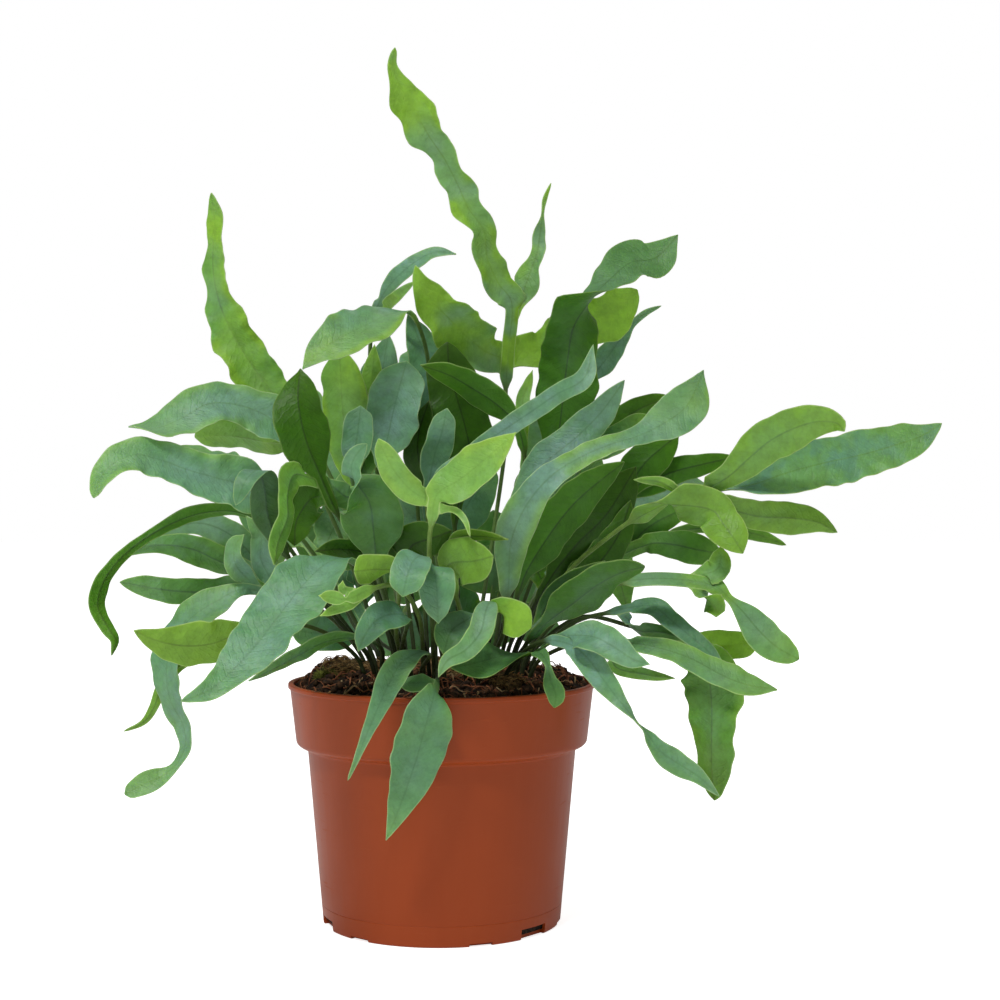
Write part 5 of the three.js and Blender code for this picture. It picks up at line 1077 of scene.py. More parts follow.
PEAT = GritFinish("peat", (0.008, 0.005, 0.003), (0.075, 0.038, 0.02), 800, 90, 0.95, 0.0012)
CRUMB = GritFinish("crumb", (0.014, 0.008, 0.005), (0.17, 0.08, 0.035), 500, 160, 0.95, 0.0006)
ROOT_FIBRE = GritFinish("root_fibre", (0.16, 0.05, 0.02), (0.46, 0.2, 0.09), 300, 120, 0.85, 0.0002)
STRAW = GritFinish("straw_fibre", (0.28, 0.16, 0.07), (0.66, 0.5, 0.28), 300, 120, 0.85, 0.0002)
MOSS = GritFinish("moss", (0.12, 0.13, 0.02), (0.36, 0.4, 0.08), 700, 200, 0.9, 0.0002)
BARK = GritFinish("rhizome_bark", (0.06, 0.035, 0.012), (0.3, 0.2, 0.08), 900, 200, 0.9, 0.0006)
PAPERY = GritFinish("rhizome_scale", (0.2, 0.11, 0.035), (0.5, 0.33, 0.13), 500, 160, 0.75, 0.0002)


# ---------------------------------------------------------------- compost and rhizomes


@dataclass
class Compost:
    """The plug of compost, with crumbs, root fibres and a tuft of moss on it.

    A bank is the place of its middle, how far it reaches across and along, and its height. A kind of fibre is
    how many there are, their greatest length and their greatest radius.
    """

    rim_radius: float = 60.0
    edge_height: float = 89.5
    mound: float = 6.0
    lump: float = 1.3
    grain: float = 0.55
    grain_pitch: float = 9.0
    top_radius: float = 57.3
    pole_radius: float = 0.6
    step_radius: float = 55.2
    foot_radius: float = 44.7
    shoulder_radius: float = 50.9
    shoulder_height: float = 69.5
    low: float = 1.6
    sides: int = 260
    rings: int = 110
    banks: tuple[Point, ...] = ((-42, 6, 15, 24, 7), (44, 4, 13, 22, 4.5))
    crumbs: int = 1800
    crumb_size: float = 2.1
    roots: tuple[int, float, float] = (520, 18, 0.36)
    straws: tuple[int, float, float] = (130, 15, 0.4)
    fibre_rise: float = 2.6
    moss_hairs: int = 650
    moss_middle: Point = (-44, -12)
    moss_dome: Point = (3.6, 3.0, 2.6)
    hair_radius: float = 0.16

    def height(self, x: Array, y: Array) -> Array:
        """The compost's height in plan: a low mound with lumpy waves, and the bell-shaped banks.

        Args:
            x: places across.
            y: places along.

        Returns:
            The heights in millimetres.
        """
        reach = np.hypot(x, y) / self.rim_radius
        waves = np.sin(0.31 * x + 1.1) * np.cos(0.27 * y) + 0.6 * np.sin(0.83 * x - 0.71 * y)
        bank = np.zeros_like(x)
        for a, b, across, along, high in self.banks:
            bank = bank + high * np.exp(-(((x - a) / across) ** 2) - ((y - b) / along) ** 2)
        inside = 1 - ease((reach - 0.8) / 0.2)
        return self.edge_height + self.mound * (1 - reach**2) + (self.lump * waves + bank) * inside

    def surface(self, x: Array, y: Array) -> Array:
        """The height with grains of 9 mm and finer added, up to about 1.1 mm high."""
        return self.height(x, y) + self.grain * rough(x, y, self.grain_pitch, 5)

    def spots(self, rng: np.random.Generator, count: int, share: float) -> tuple[Array, Array]:
        """Spots strewn evenly over that share of the top: the radius is the root of an even draw."""
        radius = self.top_radius * np.sqrt(rng.uniform(0, share, count))
        turn = rng.uniform(0, 2 * math.pi, count)
        return radius * np.cos(turn), radius * np.sin(turn)

    def plug(self) -> Mesh:
        """The plug: a lathe body whose top rings are raised to the surface."""
        rings = np.linspace(self.top_radius, self.pole_radius, self.rings)
        wall = [
            (0, self.low), (self.foot_radius, self.low), (self.shoulder_radius, self.shoulder_height),
            (self.step_radius, self.shoulder_height + 3), (self.top_radius, self.edge_height - 2),
        ]
        top = [(r, self.edge_height) for r in rings] + [(0, self.edge_height)]
        places, faces = lathe(np.array(wall + top, float), self.sides)
        on_top = places[:, 2] > self.edge_height - 0.01
        x, y = places[on_top, 0], places[on_top, 1]
        places[on_top, 2] = self.surface(x, y)
        return make_mesh("compost", places, faces)

    def crumb_mesh(self, rng: np.random.Generator) -> Mesh:
        """Crumbs strewn over the top: icosahedra stretched and dented at random, each half sunk.

        Args:
            rng: the seeded random source.

        Returns:
            The mesh of all the crumbs.
        """
        golden = (1 + math.sqrt(5)) / 2
        a, b = 1 / math.hypot(1, golden), golden / math.hypot(1, golden)
        ball = np.array([(-a, b, 0), (a, b, 0), (-a, -b, 0), (a, -b, 0), (0, -a, b), (0, a, b), (0, -a, -b),
                         (0, a, -b), (b, 0, -a), (b, 0, a), (-b, 0, -a), (-b, 0, a)])
        sides = np.array([(0, 11, 5), (0, 5, 1), (0, 1, 7), (0, 7, 10), (0, 10, 11), (1, 5, 9), (5, 11, 4),
                          (11, 10, 2), (10, 7, 6), (7, 1, 8), (3, 9, 4), (3, 4, 2), (3, 2, 6), (3, 6, 8),
                          (3, 8, 9), (4, 9, 5), (2, 4, 11), (6, 2, 10), (8, 6, 7), (9, 8, 1)])
        count = self.crumbs
        x, y = self.spots(rng, count, 0.985)
        size = rng.uniform(0.5, 1.0, count) ** 2 * self.crumb_size
        stretch = rng.uniform(0.55, 1.35, (count, 1, 3))
        dents = rng.uniform(0.75, 1.2, (count, len(ball), 1))
        shapes = ball * dents * stretch * size[:, None, None]
        centre = np.stack([x, y, self.surface(x, y) + 0.15 * size], axis=-1)
        places = (shapes + centre[:, None]).reshape(-1, 3)
        faces = (sides[None] + len(ball) * np.arange(count)[:, None, None]).reshape(-1, 3)
        return make_mesh("crumbs", places, [faces])

    def fibre_mesh(self, rng: np.random.Generator, kind: tuple[int, float, float]) -> Mesh:
        """Fibres that lie on the top: each a line in plan whose heading drifts, risen in its middle.

        The rise is the sine of pi times the share of the way, to the 0.7.

        Args:
            rng: the seeded random source.
            kind: the kind of fibre.

        Returns:
            The mesh of all the fibres.
        """
        (count, reach, thick), steps = kind, 9
        start_x, start_y = self.spots(rng, count, 0.93)
        heading = rng.uniform(0, 2 * math.pi, (count, 1))
        heading = heading + np.cumsum(rng.normal(0, 0.3, (count, steps)), axis=1)
        length = rng.uniform(0.35, 1, (count, 1)) * reach / steps
        x = start_x[:, None] + np.cumsum(np.cos(heading) * length, axis=1)
        y = start_y[:, None] + np.cumsum(np.sin(heading) * length, axis=1)
        inward = np.minimum(1, (self.top_radius - 1.5) / np.maximum(np.hypot(x, y), TINY))
        x, y = x * inward, y * inward
        share = np.linspace(0, 1, steps)
        lift = rng.uniform(0.2, 1.0, (count, 1)) * self.fibre_rise * np.sin(math.pi * share) ** 0.7
        paths = np.stack([x, y, self.surface(x, y) + lift], axis=-1)
        radii = rng.uniform(0.4, 1, (count, 1)) * thick * (1 - 0.75 * np.abs(2 * share - 1) ** 3)
        places, faces = tubes(paths, radii, 5)
        return make_mesh("fibres", places, faces)

    def moss_mesh(self, rng: np.random.Generator) -> Mesh:
        """A tuft of moss at the left: short curved hairs that stand out of a low dome.

        Args:
            rng: the seeded random source.

        Returns:
            The mesh of all the hairs.
        """
        count, steps = self.moss_hairs, 5
        turn = rng.uniform(0, 2 * math.pi, count)
        rise = np.arccos(rng.uniform(0.05, 1, count))
        out = np.stack([np.sin(rise) * np.cos(turn), np.sin(rise) * np.sin(turn), np.cos(rise)], axis=-1)
        x, y = (np.array([v], float) for v in self.moss_middle)
        centre = np.array([x[0], y[0], self.surface(x, y)[0] - 0.6])
        root = centre + out * np.array(self.moss_dome)
        share = np.linspace(0, 1, steps)[:, None]
        bend = rng.normal(0, 0.5, (count, 1, 3)) * share**2
        paths = root[:, None] + out[:, None] * share * rng.uniform(1.0, 2.4, (count, 1, 1)) + bend
        radii = np.repeat(self.hair_radius * (1 - 0.7 * share.T), count, axis=0)
        places, faces = tubes(paths, radii, 4)
        return make_mesh("moss", places, faces)

    def build(self, grit_tree: Tree) -> None:
        """Makes the plug, the crumbs, the fibres and the moss, and dresses them."""
        rng = np.random.default_rng(11)
        add_piece("compost", self.plug(), PEAT.material(grit_tree), "compost", "soil")
        add_piece("crumbs", self.crumb_mesh(rng), CRUMB.material(grit_tree), "compost")
        add_piece("root_fibres", self.fibre_mesh(rng, self.roots), ROOT_FIBRE.material(grit_tree), "compost")
        add_piece("straw_fibres", self.fibre_mesh(rng, self.straws), STRAW.material(grit_tree), "compost")
        add_piece("moss", self.moss_mesh(rng), MOSS.material(grit_tree), "compost")


# The creeping rhizome's branches in plan, each from the crown outwards.
BRANCHES = (
    ((4, 2), (-14, -2), (-30, -4), (-44, -10)),
    ((-4, -2), (10, -12), (22, -24), (30, -34)),
    ((0, 0), (14, 6), (28, 16), (36, 30)),
    ((0, 2), (-8, 14), (-18, 24), (-22, 38)),
)


@dataclass
class Rhizome:
    """The creeping rhizomes, with their golden-brown scales."""

    compost: Compost
    radius: float = 4.4
    above: float = 0.6
    sides: int = 28
    steps: int = 60
    scales: int = 620
    least_length: float = 2.0
    greatest_length: float = 4.6
    ridge: float = 0.45

    def course(self, branch: tuple[Point, ...]) -> Array:
        """The middle line of a branch, which lies a little above the compost's own height."""
        plan = np.array(branch, float)
        height = self.compost.height(plan[:, 0], plan[:, 1]) + self.above
        return Course(list(np.column_stack([plan, height]))).at(np.linspace(0, 1, self.steps))

    def build(self, grit_tree: Tree) -> None:
        """Makes the rods with knobbly thickness and rounded ends, and the scales on them.

        The radius is swelled by two sines of the share of the way, and rounded off over the last tenth.

        Args:
            grit_tree: the node group that `grit` makes.
        """
        rng = np.random.default_rng(5)
        share = np.linspace(0, 1, self.steps)
        round_end = np.sqrt(np.clip(1 - np.clip((share - 0.9) / 0.1, 0, 1) ** 2, 0.02, 1))
        bodies, rod_faces, scales, offset = [], [], [], 0
        for k, branch in enumerate(BRANCHES):
            path = self.course(branch)
            radii = self.radius * round_end * (1 + 0.06 * np.sin(17 * share + k) + 0.04 * np.sin(41 * share))
            places, faces = tubes(path[None], radii[None], self.sides)
            bodies.append(places)
            rod_faces += [f + offset for f in faces]
            offset += len(places)
            scales.append(self.scale_places(path, radii, rng))
        rods = make_mesh("rhizomes", np.concatenate(bodies), rod_faces)
        add_piece("rhizomes", rods, BARK.material(grit_tree), "rhizome", "rhizome")
        points = np.concatenate(scales).reshape(-1, 3)
        tetra = np.array([(0, 1, 3), (1, 2, 3), (2, 0, 3), (0, 2, 1)])
        faces = (tetra[None] + 4 * np.arange(len(points) // 4)[:, None, None]).reshape(-1, 3)
        add_piece("scales", make_mesh("scales", points, [faces]), PAPERY.material(grit_tree), "rhizome")

    def scale_places(self, path: Array, radii: Array, rng: np.random.Generator) -> Array:
        """Narrow scales that lean outwards along the branch.

        Each is a thin pyramid: two base corners across the branch, a tip ahead of them and raised, and a
        ridge point above the base.

        Args:
            path: (k, 3) the branch's middle line.
            radii: (k,) its radii.
            rng: the seeded random source.

        Returns:
            (n, 4, 3) corners in millimetres: left base, right base, tip, ridge.
        """
        count = self.scales
        spot = rng.uniform(0.02, 0.97, count) * (len(path) - 1)
        low = spot.astype(int)
        part = (spot - low)[:, None]
        high = np.minimum(low + 1, len(path) - 1)
        centre = path[low] * (1 - part) + path[high] * part
        ahead = unit(path[high] - path[np.maximum(low - 1, 0)])
        level = unit(np.cross(ahead, [0.0, 0.0, 1.0]))
        up = np.cross(level, ahead)
        turn = rng.uniform(-0.25, math.pi + 0.25, (count, 1))
        out = level * np.cos(turn) + up * np.sin(turn)
        side = np.cross(ahead, out)
        foot = centre + out * radii[low][:, None] * 0.93
        length = rng.uniform(self.least_length, self.greatest_length, (count, 1))
        wide = rng.uniform(0.35, 0.75, (count, 1))
        skew = rng.normal(0, 0.35, (count, 1))
        tip = foot + (ahead + side * skew) * length + out * rng.uniform(0.15, 0.55, (count, 1)) * length
        ridge = foot + out * self.ridge + ahead * length * 0.3
        return np.stack([foot - side * wide, foot + side * wide, tip, ridge], axis=1)


# ---------------------------------------------------------------- fronds


@dataclass
class Sheet:
    """A leaf surface as it grows.

    A grid holds, for each vertex, the place in the middle, the lifts to the upper and to the lower face, and
    the facts `leaf`, `side` and `growth_and_shade`.
    """

    grids: list[tuple[Array, ...]] = field(default_factory=list)
    quads: list[Array] = field(default_factory=list)
    count: int = 0

    def add(self, *grid: Array) -> Array:
        """Adds a grid of vertices.

        Args:
            grid: arrays (rows, columns, 3) of what a grid holds.

        Returns:
            The vertex numbers, (rows, columns).
        """
        self.grids.append(tuple(values.reshape(-1, 3) for values in grid))
        shape = grid[0].shape[:2]
        ids = self.count + np.arange(shape[0] * shape[1]).reshape(shape)
        self.count += ids.size
        return ids

    def place_of(self, ids: Array) -> Array:
        """The places of vertices by number."""
        return np.concatenate([grid[0] for grid in self.grids])[ids]

    def solid(self, name: str) -> Mesh:
        """Closes the sheet: the upper face, the lower face turned over, and a wall along each open edge.

        Args:
            name: the mesh's name.

        Returns:
            The mesh, with the attributes that the leaf tissue reads.
        """
        middle, above, below, leaf, side, growth_and_shade = map(np.concatenate, zip(*self.grids))
        count = self.count
        quads = np.concatenate(self.quads)
        pairs = np.concatenate([quads[:, [k, (k + 1) % 4]] for k in range(4)])
        forward = pairs[:, 0].astype(np.int64) * count + pairs[:, 1]
        backward = pairs[:, 1].astype(np.int64) * count + pairs[:, 0]
        p, q = pairs[~np.isin(forward, backward)].T
        walls = np.stack([q, p, p + count, q + count], axis=-1)
        places = np.concatenate([middle + above, middle - below])
        facts = {
            "leaf": np.concatenate([leaf, leaf]),
            "side": np.concatenate([side, side + np.array([1.0, 0.0, 0.0])]),
            "growth_and_shade": np.concatenate([growth_and_shade, growth_and_shade]),
        }
        return make_mesh(name, places, [quads, quads[:, ::-1] + count, walls], facts)


@dataclass
class Fern:
    """All the fronds, with the sizes that they share."""

    compost: Compost
    stalk_half: float = 0.85
    stalk_thick: float = 0.8
    collar_height: float = 103.0
    sunk: float = 3.0
    lean: float = 0.5
    least_rachis_steps: int = 4
    least_blade_rows: int = 12
    parts: int = 6
    stalk_step: float = 2.4
    row_step: float = 1.3
    base_length: float = 10.0
    tip_length: float = 2.0
    least_half: float = 0.6
    least_shown: float = 0.68
    cup: float = 0.1
    lift_power: float = 1.6
    wave_width: float = 0.12
    wave_lift: float = 0.2
    ripple_width: float = 0.018
    ripple_lift: float = 0.05
    phase_step: float = 2.4
    skin: float = 0.2
    ridge: float = 0.08
    rib: float = 0.45
    columns: Point = (-1, -0.95, -0.76, -0.48, -0.22, -0.07, 0, 0.07, 0.22, 0.48, 0.76, 0.95, 1)

    def half_width(self, shape: Frond | Lobe, t: Array, lie: Fields, length: float) -> Array:
        """The true half width at shares t.

        It is the seen one times the reach, over how much of the blade's breadth faces the eye, rounded off in
        the last 2 mm by the root of the distance to the tip.

        Args:
            shape: the blade or lobe.
            t: (rows,) shares of its length.
            lie: the course's frame at each row.
            length: its length in millimetres.

        Returns:
            (rows,) half widths.
        """
        shown = np.maximum(np.hypot(lie["across"][:, 0], lie["across"][:, 2]), self.least_shown)
        half = width_at(shape, t) * reach_of(lie["centre"][:, 1]) / shown
        end = np.sqrt(np.clip((1 - t) * length / self.tip_length, 0.02, 1))
        return np.maximum(half, self.least_half) * end

    def wave(self, frond: Frond, t: Array, length: float, phase: float, side: float) -> tuple[Array, Array]:
        """How a margin waves at shares t.

        Both waves are sines of the distance along, faded at both ends by the root of sin(pi t). The large
        ones grow with the frond's wave, and the finer ripple on each doesn't.

        Args:
            frond: what gives the wave and its pitch.
            t: (rows,) shares of the length.
            length: the length in millimetres.
            phase: where the waves start.
            side: -1 for the left margin, 1 for the right one.

        Returns:
            The factor on the half width outwards, and the lift as a share of the half width.
        """
        turns = 2 * math.pi * t * length / frond.pitch
        fade = np.sqrt(np.clip(np.sin(math.pi * np.clip(t, 0, 1)), 0, 1))
        out = 1 + self.wave_width * frond.wave * fade * np.sin(turns + phase + 1.9 * side)
        out = out + self.ripple_width * fade * np.sin(2.7 * turns + 2.1 * phase + 4.2 * side)
        lift = self.cup + self.wave_lift * frond.wave * fade * np.sin(0.8 * turns + 1.7 * phase + 2.6 * side)
        lift = lift + self.ripple_lift * fade * np.sin(2.3 * turns + 1.3 * phase + 0.7 * side)
        return out, lift

    def thickness(self, off: Array, s: Array, stalk: Array, t: Array) -> tuple[Array, Array]:
        """How far the upper and the lower face lie from the middle.

        A blade is 0.2 mm each way, with a bell-shaped rib along its midrib, and thins to its margin. A stalk
        is round: its thickness times the root of 1 - s squared.

        Args:
            off: millimetres from the midrib.
            s: from -1 at the left margin to 1 at the right.
            stalk: 1 on the stalk, 0 on the blade.
            t: the share of the way to the tip.

        Returns:
            The upper and the lower distance, each shaped as the arguments.
        """
        thin = 1 - 0.5 * np.abs(s) ** 12
        above = (self.skin + self.ridge * np.exp(-((off / 0.5) ** 2))) * thin
        below = (self.skin + self.rib * (1 - 0.6 * t) * np.exp(-((off / 0.55) ** 2))) * thin
        rod = self.stalk_thick * np.sqrt(np.maximum(1 - s**2, 0.02))
        return above + (rod - above) * stalk, below + (rod - below) * stalk

    def collar(self, frond: Frond) -> tuple[Array, Array]:
        """Where a stalk starts in the compost and where it comes clear of it, in line with its lean.

        Args:
            frond: what gives the root and the stem.

        Returns:
            (3,) the foot and (3,) the top.
        """
        x, y = (np.array([v], float) for v in frond.root)
        ground = float(self.compost.height(x, y)[0])
        foot = np.array([*frond.root, ground - self.sunk])
        ahead = seen(frond.stem[0])
        height = min(self.collar_height, (ahead[2] + ground) / 2)
        share = self.lean * (height - foot[2]) / max(ahead[2] - foot[2], height - foot[2])
        top = foot + (ahead - foot) * share
        top[2] = height
        return foot, top

    def lay(
        self, sheet: Sheet, lie: Fields, lateral: Array, half: Array,
        waves: tuple[tuple[Array, Array], ...], s: Array, along: Array, stalk: Array,
        t: Array, look: Colour, shift: Array | float = 0.0,
    ) -> Array:
        """Adds rows to a sheet: centre plus lateral times s, lifted by wave times half times s to the 1.6.

        Args:
            sheet: the sheet that grows.
            lie: the course's frame at each row.
            lateral: (rows, 3) from the midrib to the right margin.
            half: (rows,) the half width.
            waves: for the left and the right margin, the factor outwards and the lift.
            s: (rows, columns) from -1 at the left margin to 1 at the right.
            along: (rows,) millimetres along the midrib.
            stalk: (rows,) 1 on the stalk, 0 on the blade.
            t: (rows,) share of the way to the tip.
            look: how fresh it is, how deep its painted shade is, and how bloomed it is.
            shift: (rows, columns, 3) added to the places.

        Returns:
            The vertex numbers, (rows, columns).
        """
        (out_left, lift_left), (out_right, lift_right) = waves
        left = s < 0
        out = np.where(left, out_left[:, None], out_right[:, None])
        lift = np.where(left, lift_left[:, None], lift_right[:, None]) * np.abs(s) ** self.lift_power
        rise = (lift * half[:, None])[..., None]
        normal = np.repeat(lie["normal"][:, None], s.shape[1], axis=1)
        places = lie["centre"][:, None] + lateral[:, None] * (s * out)[..., None] + normal * rise + shift
        rows = np.ones_like(s)
        breadth = np.linalg.norm(lateral, axis=1)[:, None] * rows
        stalks, shares = stalk[:, None] * rows, t[:, None] * rows
        above, below = self.thickness(np.abs(s) * breadth, s, stalks, shares)
        leaf = np.stack([s * breadth, along[:, None] * rows, breadth], axis=-1)
        side = np.stack([0 * rows, stalks, shares], axis=-1)
        growth_and_shade = rows[..., None] * np.array(look, float)
        return sheet.add(places, normal * above[..., None], normal * below[..., None], leaf, side, growth_and_shade)

    def axis(self, sheet: Sheet, frond: Frond, phase: float) -> tuple[Array, Fields, int, int]:
        """Lays the stalk, rachis and end blade as one strip.

        Rows are laid every few millimetres up the stalk, at a sixth of each step on the rachis, and closely
        on the blade. The half width eases from the stalk's to the wing's, and from that to the blade's.

        Args:
            sheet: the sheet that grows.
            frond: the frond.
            phase: where its waves start.

        Returns:
            The vertex numbers, the frame at each row, the first row of the rachis, and its number of steps.
        """
        foot, top = self.collar(frond)
        knots = [foot, (foot + top) / 2, top, *map(seen, frond.stem)]
        course = Course([*knots, *map(seen, frond.rachis), *map(seen, frond.blade)])
        length = course.length
        blade_start = course.at_knot(len(knots) + max(len(frond.rachis) - 1, 0))
        rachis_start = course.at_knot(len(knots)) if frond.rachis else blade_start
        steps = 0
        if frond.rachis:
            steps = int((blade_start - rachis_start) * length / frond.step + 0.5)
            steps = max(self.least_rachis_steps, steps)
        stalk_rows = int(rachis_start * length / self.stalk_step)
        blade_length = (1 - blade_start) * length
        blade_rows = max(int(blade_length / self.row_step), self.least_blade_rows)
        u_stalk = np.linspace(0, rachis_start, stalk_rows, endpoint=False)
        u_rachis = np.linspace(rachis_start, blade_start, steps * self.parts, endpoint=False)
        u = np.concatenate([u_stalk, u_rachis, np.linspace(blade_start, 1, blade_rows + 1)])
        t = np.clip((u - blade_start) / (1 - blade_start), 0, 1)
        blade_faces = facings(frond.faces)
        rachis_faces = facings(frond.rachis_faces) if frond.rachis_faces else blade_faces[:1]
        if steps:
            step = (u - rachis_start) / (blade_start - rachis_start) * steps
            wing_share = ease((step + 1) / 2)
            to_blade = ease(step - (steps - 1))
            faces = between(rachis_faces, np.clip(step / steps, 0, 1))
        else:
            wing_share = np.zeros_like(u)
            to_blade = ease(1 + (u - blade_start) * length / self.base_length)
            faces = np.repeat(rachis_faces[:1], len(u), axis=0)
        eased = faces + (blade_faces[0] - faces) * to_blade[:, None]
        lie = course.frame(u, np.where((t > 0)[:, None], between(blade_faces, t), eased))
        half = self.stalk_half + (frond.wing - self.stalk_half) * wing_share
        half = half + (self.half_width(frond, t, lie, blade_length) - half) * to_blade
        waves = []
        for side in (-1.0, 1.0):
            out, lift = self.wave(frond, t, blade_length, phase, side)
            waves.append((1 + (out - 1) * to_blade, lift * to_blade))
        s = np.repeat([self.columns], len(u), axis=0)
        stalk = (1 - wing_share) * (1 - to_blade)
        lateral = lie["across"] * half[:, None]
        ids = self.lay(sheet, lie, lateral, half, tuple(waves), s, u * length, stalk, t, frond.look)
        sheet.quads.append(grid_quads(ids))
        return ids, lie, stalk_rows, steps

    def lobe(self, sheet: Sheet, axis: tuple, frond: Frond, shape: Lobe, phase: float) -> None:
        """Lays a lobe, whose first row is a stretch of the rachis's margin, a step or more either way.

        The lateral eases from half of that stretch of margin to the lobe's own breadth over the first
        quarter, and the columns ease from even spacing to the blade's.

        Args:
            sheet: the sheet that grows.
            axis: what `axis` gave for the frond.
            frond: the frond.
            shape: the lobe.
            phase: where its waves start.
        """
        ids, lie, first, steps = axis
        reach = shape.spread * self.parts
        step = min(max(int(shape.at * steps + 0.5), shape.spread), steps - shape.spread)
        row = first + step * self.parts
        start = seen(shape.path[0])
        on_right = float(np.dot(start - lie["centre"][row], lie["across"][row])) > 0
        run = np.arange(row - reach, row + reach + 1)
        base = ids[run, -1 if on_right else 0]
        base = base[::-1] if on_right else base
        edge = sheet.place_of(base)
        middle = edge[reach]
        base_half = (edge[-1] - edge[0]) / 2
        course = Course([middle, *map(seen, shape.path)])
        rows = max(int(course.length / self.row_step), self.least_blade_rows)
        t = np.arange(1, rows + 1) / rows
        faces = np.vstack([lie["normal"][row], facings(shape.faces)])
        own = course.frame(t, between(faces, t * 1.5))
        half = self.half_width(shape, t, own, course.length)
        grown = ease(4 * t)[:, None]
        lateral = base_half * (1 - grown) + own["across"] * half[:, None] * grown
        even = np.linspace(-1, 1, len(base))
        columns = np.interp(even, np.linspace(-1, 1, len(self.columns)), self.columns)
        spread = ease(6 * t)[:, None]
        s = even * (1 - spread) + columns * spread
        leftover = edge - (middle + base_half * even[:, None])
        shift = leftover[None] * (1 - ease(8 * t))[:, None, None]
        waves = tuple(self.wave(frond, t, course.length, phase, side) for side in (-1.0, 1.0))
        look, stalk = shape.look or frond.look, np.zeros(rows)
        new = self.lay(sheet, own, lateral, half, waves, s, t * course.length, stalk, t, look, shift)
        sheet.quads.append(grid_quads(np.concatenate([base[None], new])))

    def build(self, materials: dict[Tone, Material]) -> None:
        """Makes every frond and puts it in place of its CAD node."""
        for number, frond in enumerate(FRONDS):
            sheet, phase = Sheet(), number * self.phase_step
            axis = self.axis(sheet, frond, phase)
            for k, shape in enumerate(frond.lobes):
                self.lobe(sheet, axis, frond, shape, phase + k + 1)
            name = frond.name.replace("frond_", "leaf_")
            add_piece(name, sheet.solid(name), materials[frond.tone], frond.tone.value, frond.name)


# ---------------------------------------------------------------- pot


@dataclass
class Pot:
    """The moulded nursery pot: rim band, stepped shoulder, tapered wall and drain notches.

    A kind of notch is where its notches are in degrees round the pot, and their width and height.
    """

    height: float = 93.0
    rim_radius: float = 60.0
    band_top_radius: float = 59.2
    band_foot_radius: float = 56.8
    band_height: float = 23.5
    body_top_radius: float = 52.4
    foot_radius: float = 46.3
    wall: float = 1.3
    seam_height: float = 7.9
    seam_depth: float = 0.12
    sides: int = 192
    tall_notches: tuple[Point, float, float] = ((-70, 50, 170), 14.0, 4.0)
    low_notches: tuple[Point, float, float] = ((-100, -40, 20, 80, 140, 200), 9.0, 1.2)
    notch_depth: float = 5.0
    crease: float = 42.0

    def profile(self) -> Array:
        """The wall's outline with softened corners and a faint mould seam 8 mm up."""
        foot, top = self.height - self.band_height, self.height
        wall, body, rim, low = self.wall, self.body_top_radius, self.rim_radius, self.seam_height
        seam = self.foot_radius + (body - self.foot_radius) * 0.11
        corners = [
            (0, 0, 0), (self.foot_radius, 0, 0.8), (seam, low - 0.2, 0.1),
            (seam - self.seam_depth, low, 0.05), (seam + 0.02, low + 0.2, 0.1), (body, foot - 1.6, 1.0),
            (self.band_foot_radius - 0.9, foot - 0.5, 1.2), (self.band_foot_radius, foot + 0.8, 0.7),
            (self.band_top_radius, top - 2, 0.25),
            (rim, top - 1.7, 0.25), (rim, top, 0.5), (self.band_top_radius - wall, top, 0.4),
            (self.band_foot_radius - wall, foot + 1.6, 0.5), (body - wall + 0.2, foot, 0.8),
            (self.foot_radius + 0.2 - wall, wall, 0.8), (0, wall, 0),
        ]
        return softened(corners)

    def notch(self, turn: float, width: float, high: float) -> Mesh:
        """A block that cuts one notch: a box across the corner of foot and wall, turned about the axis.

        Args:
            turn: where it is, in degrees.
            width: the notch's width.
            high: the notch's height.

        Returns:
            The block's mesh.
        """
        corners = np.array([(x, y, z) for z in (-1, 1) for y in (-1, 1) for x in (-1, 1)])
        corners = corners * np.array([width / 2, self.notch_depth / 2, high]) - [0, self.foot_radius, 0]
        c, s = math.cos(math.radians(turn)), math.sin(math.radians(turn))
        spin = np.array([[c, -s, 0], [s, c, 0], [0, 0, 1]])
        faces = np.array([(0, 2, 3, 1), (4, 5, 7, 6), (0, 1, 5, 4), (2, 6, 7, 3), (0, 4, 6, 2), (1, 3, 7, 5)])
        return make_mesh("notch", corners @ spin.T, [faces])

    def build(self) -> None:
        """Turns the pot, cuts the notches out of it and dresses it."""
        places, faces = lathe(self.profile(), self.sides)
        body = bpy.data.objects.new("pot_wall", make_mesh("pot_wall", places, faces))
        bpy.context.scene.collection.objects.link(body)
        cutters = bpy.data.collections.new("notches")
        bpy.context.scene.collection.children.link(cutters)
        for turns, width, high in (self.tall_notches, self.low_notches):
            for turn in turns:
                cutters.objects.link(bpy.data.objects.new("notch", self.notch(turn, width, high)))
        cut = body.modifiers.new("notches", "BOOLEAN")
        cut.operand_type, cut.collection = "COLLECTION", cutters
        cut.operation, cut.solver = "DIFFERENCE", "EXACT"
        graph = bpy.context.evaluated_depsgraph_get()
        whole = bpy.data.meshes.new_from_object(body.evaluated_get(graph))
        for cutter in list(cutters.objects):
            bpy.data.objects.remove(cutter)
        bpy.data.collections.remove(cutters)
        bpy.data.objects.remove(body)
        whole.name = "moulded_pot"
        whole.set_sharp_from_angle(angle=math.radians(self.crease))
        add_piece("moulded_pot", whole, PotFinish().material(), "pot_plastic", "pot")


# ---------------------------------------------------------------- stage


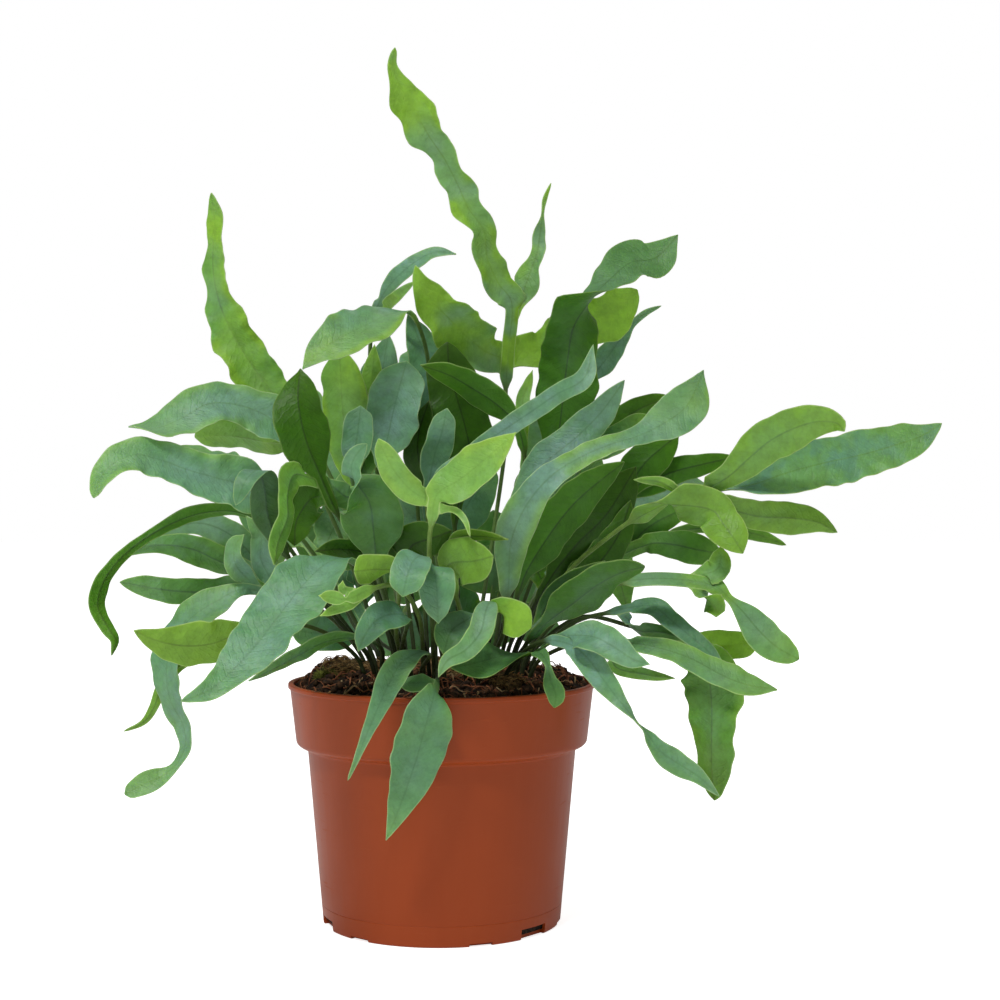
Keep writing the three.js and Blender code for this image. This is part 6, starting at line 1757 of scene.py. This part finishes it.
@dataclass(frozen=True)
class Lamp:
    """A square soft box that looks at the middle of the plant, in metres and watts."""

    name: str
    at: Point
    size: float
    power: float

    def build(self, middle: Point) -> None:
        """Hangs the lamp, turned so that it looks at the middle."""
        light = bpy.data.lights.new(self.name, "AREA")
        light.size, light.energy = self.size, self.power
        lamp = bpy.data.objects.new(self.name, light)
        lamp.location = self.at
        aim = np.array(middle) - np.array(self.at)
        yaw = math.atan2(aim[0], -aim[1])
        lamp.rotation_euler = (math.atan2(math.hypot(aim[0], aim[1]), -aim[2]), 0, yaw)
        bpy.context.scene.collection.objects.link(lamp)


@dataclass
class Studio:
    """The pale floor, the soft lights and the camera.

    The floor and the world show the camera more light than they give the plant.
    """

    floor_colour: Colour = (0.9, 0.9, 0.9)
    floor_x: Point = (-4000, 4000)
    floor_y: Point = (-2500, 6000)
    floor_below: float = 0.05
    floor_glow: float = 0.18
    floor_seen: float = 0.8
    world_light: float = 0.27
    middle: Point = (0.02, 0, 0.16)
    lamps: tuple[Lamp, ...] = (
        Lamp("key", (-0.5, -0.9, 1.6), 0.5, 54),
        Lamp("fill", (1.1, -1.1, 0.9), 0.8, 21),
        Lamp("rear", (0.2, 1.1, 1.5), 0.9, 14),
    )

    def floor(self) -> None:
        """Lays the floor, whose glow is greater for the camera."""
        (left, right), (near, far) = self.floor_x, self.floor_y
        corners = np.array([(left, near), (right, near), (right, far), (left, far)], float)
        places = np.column_stack([corners, np.full(4, -self.floor_below)])
        floor = bpy.data.objects.new("floor", make_mesh("floor", places, [np.array([[0, 1, 2, 3]])]))
        material, graph, shader = new_material("floor")
        graph.feed(shader.inputs["Base Color"], self.floor_colour)
        graph.feed(shader.inputs["Roughness"], 0.9)
        graph.feed(shader.inputs["Emission Color"], (1.0, 1.0, 1.0))
        direct = graph.node("ShaderNodeLightPath").outputs["Is Camera Ray"]
        glow = graph.band(direct, 0, 1, self.floor_glow, self.floor_seen)
        graph.feed(shader.inputs["Emission Strength"], glow)
        floor.data.materials.append(material)
        bpy.context.scene.collection.objects.link(floor)

    def world(self) -> None:
        """Surrounds the stage with even light, which the camera sees as white."""
        world = bpy.data.worlds.new("studio")
        world.use_nodes = True
        graph, background = Graph(world.node_tree), world.node_tree.nodes["Background"]
        graph.feed(background.inputs[0], (1.0, 1.0, 1.0))
        direct = graph.node("ShaderNodeLightPath").outputs["Is Camera Ray"]
        graph.feed(background.inputs[1], graph.band(direct, 0, 1, self.world_light, 1.0))
        bpy.context.scene.world = world

    def camera(self) -> None:
        """Puts the camera at the eye, level and looking along +Y."""
        camera = bpy.data.objects.new("camera", bpy.data.cameras.new("camera"))
        camera.location = EYE * MM
        camera.rotation_euler = (math.pi / 2, 0, 0)
        camera.data.lens, camera.data.sensor_width = LENS, SENSOR
        camera.data.clip_start, camera.data.clip_end = 0.01, 50
        bpy.context.scene.collection.objects.link(camera)
        bpy.context.scene.camera = camera

    def build(self) -> None:
        """Sets the stage: floor, world light, soft boxes and camera."""
        bpy.context.scene.view_settings.view_transform = "Standard"
        self.floor()
        self.world()
        for lamp in self.lamps:
            lamp.build(self.middle)
        self.camera()


def main() -> None:
    """Builds the stage and the plant."""
    logging.basicConfig(level=logging.INFO, format="%(message)s")
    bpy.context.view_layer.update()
    Studio().build()
    tissue, grit_tree = LeafTissue().group(LEAF_FINISHES[0]), grit(PEAT)
    compost = Compost()
    Pot().build()
    compost.build(grit_tree)
    Rhizome(compost).build(grit_tree)
    Fern(compost).build({finish.tone: finish.material(tissue) for finish in LEAF_FINISHES})


if __name__ == "__main__":
    main()
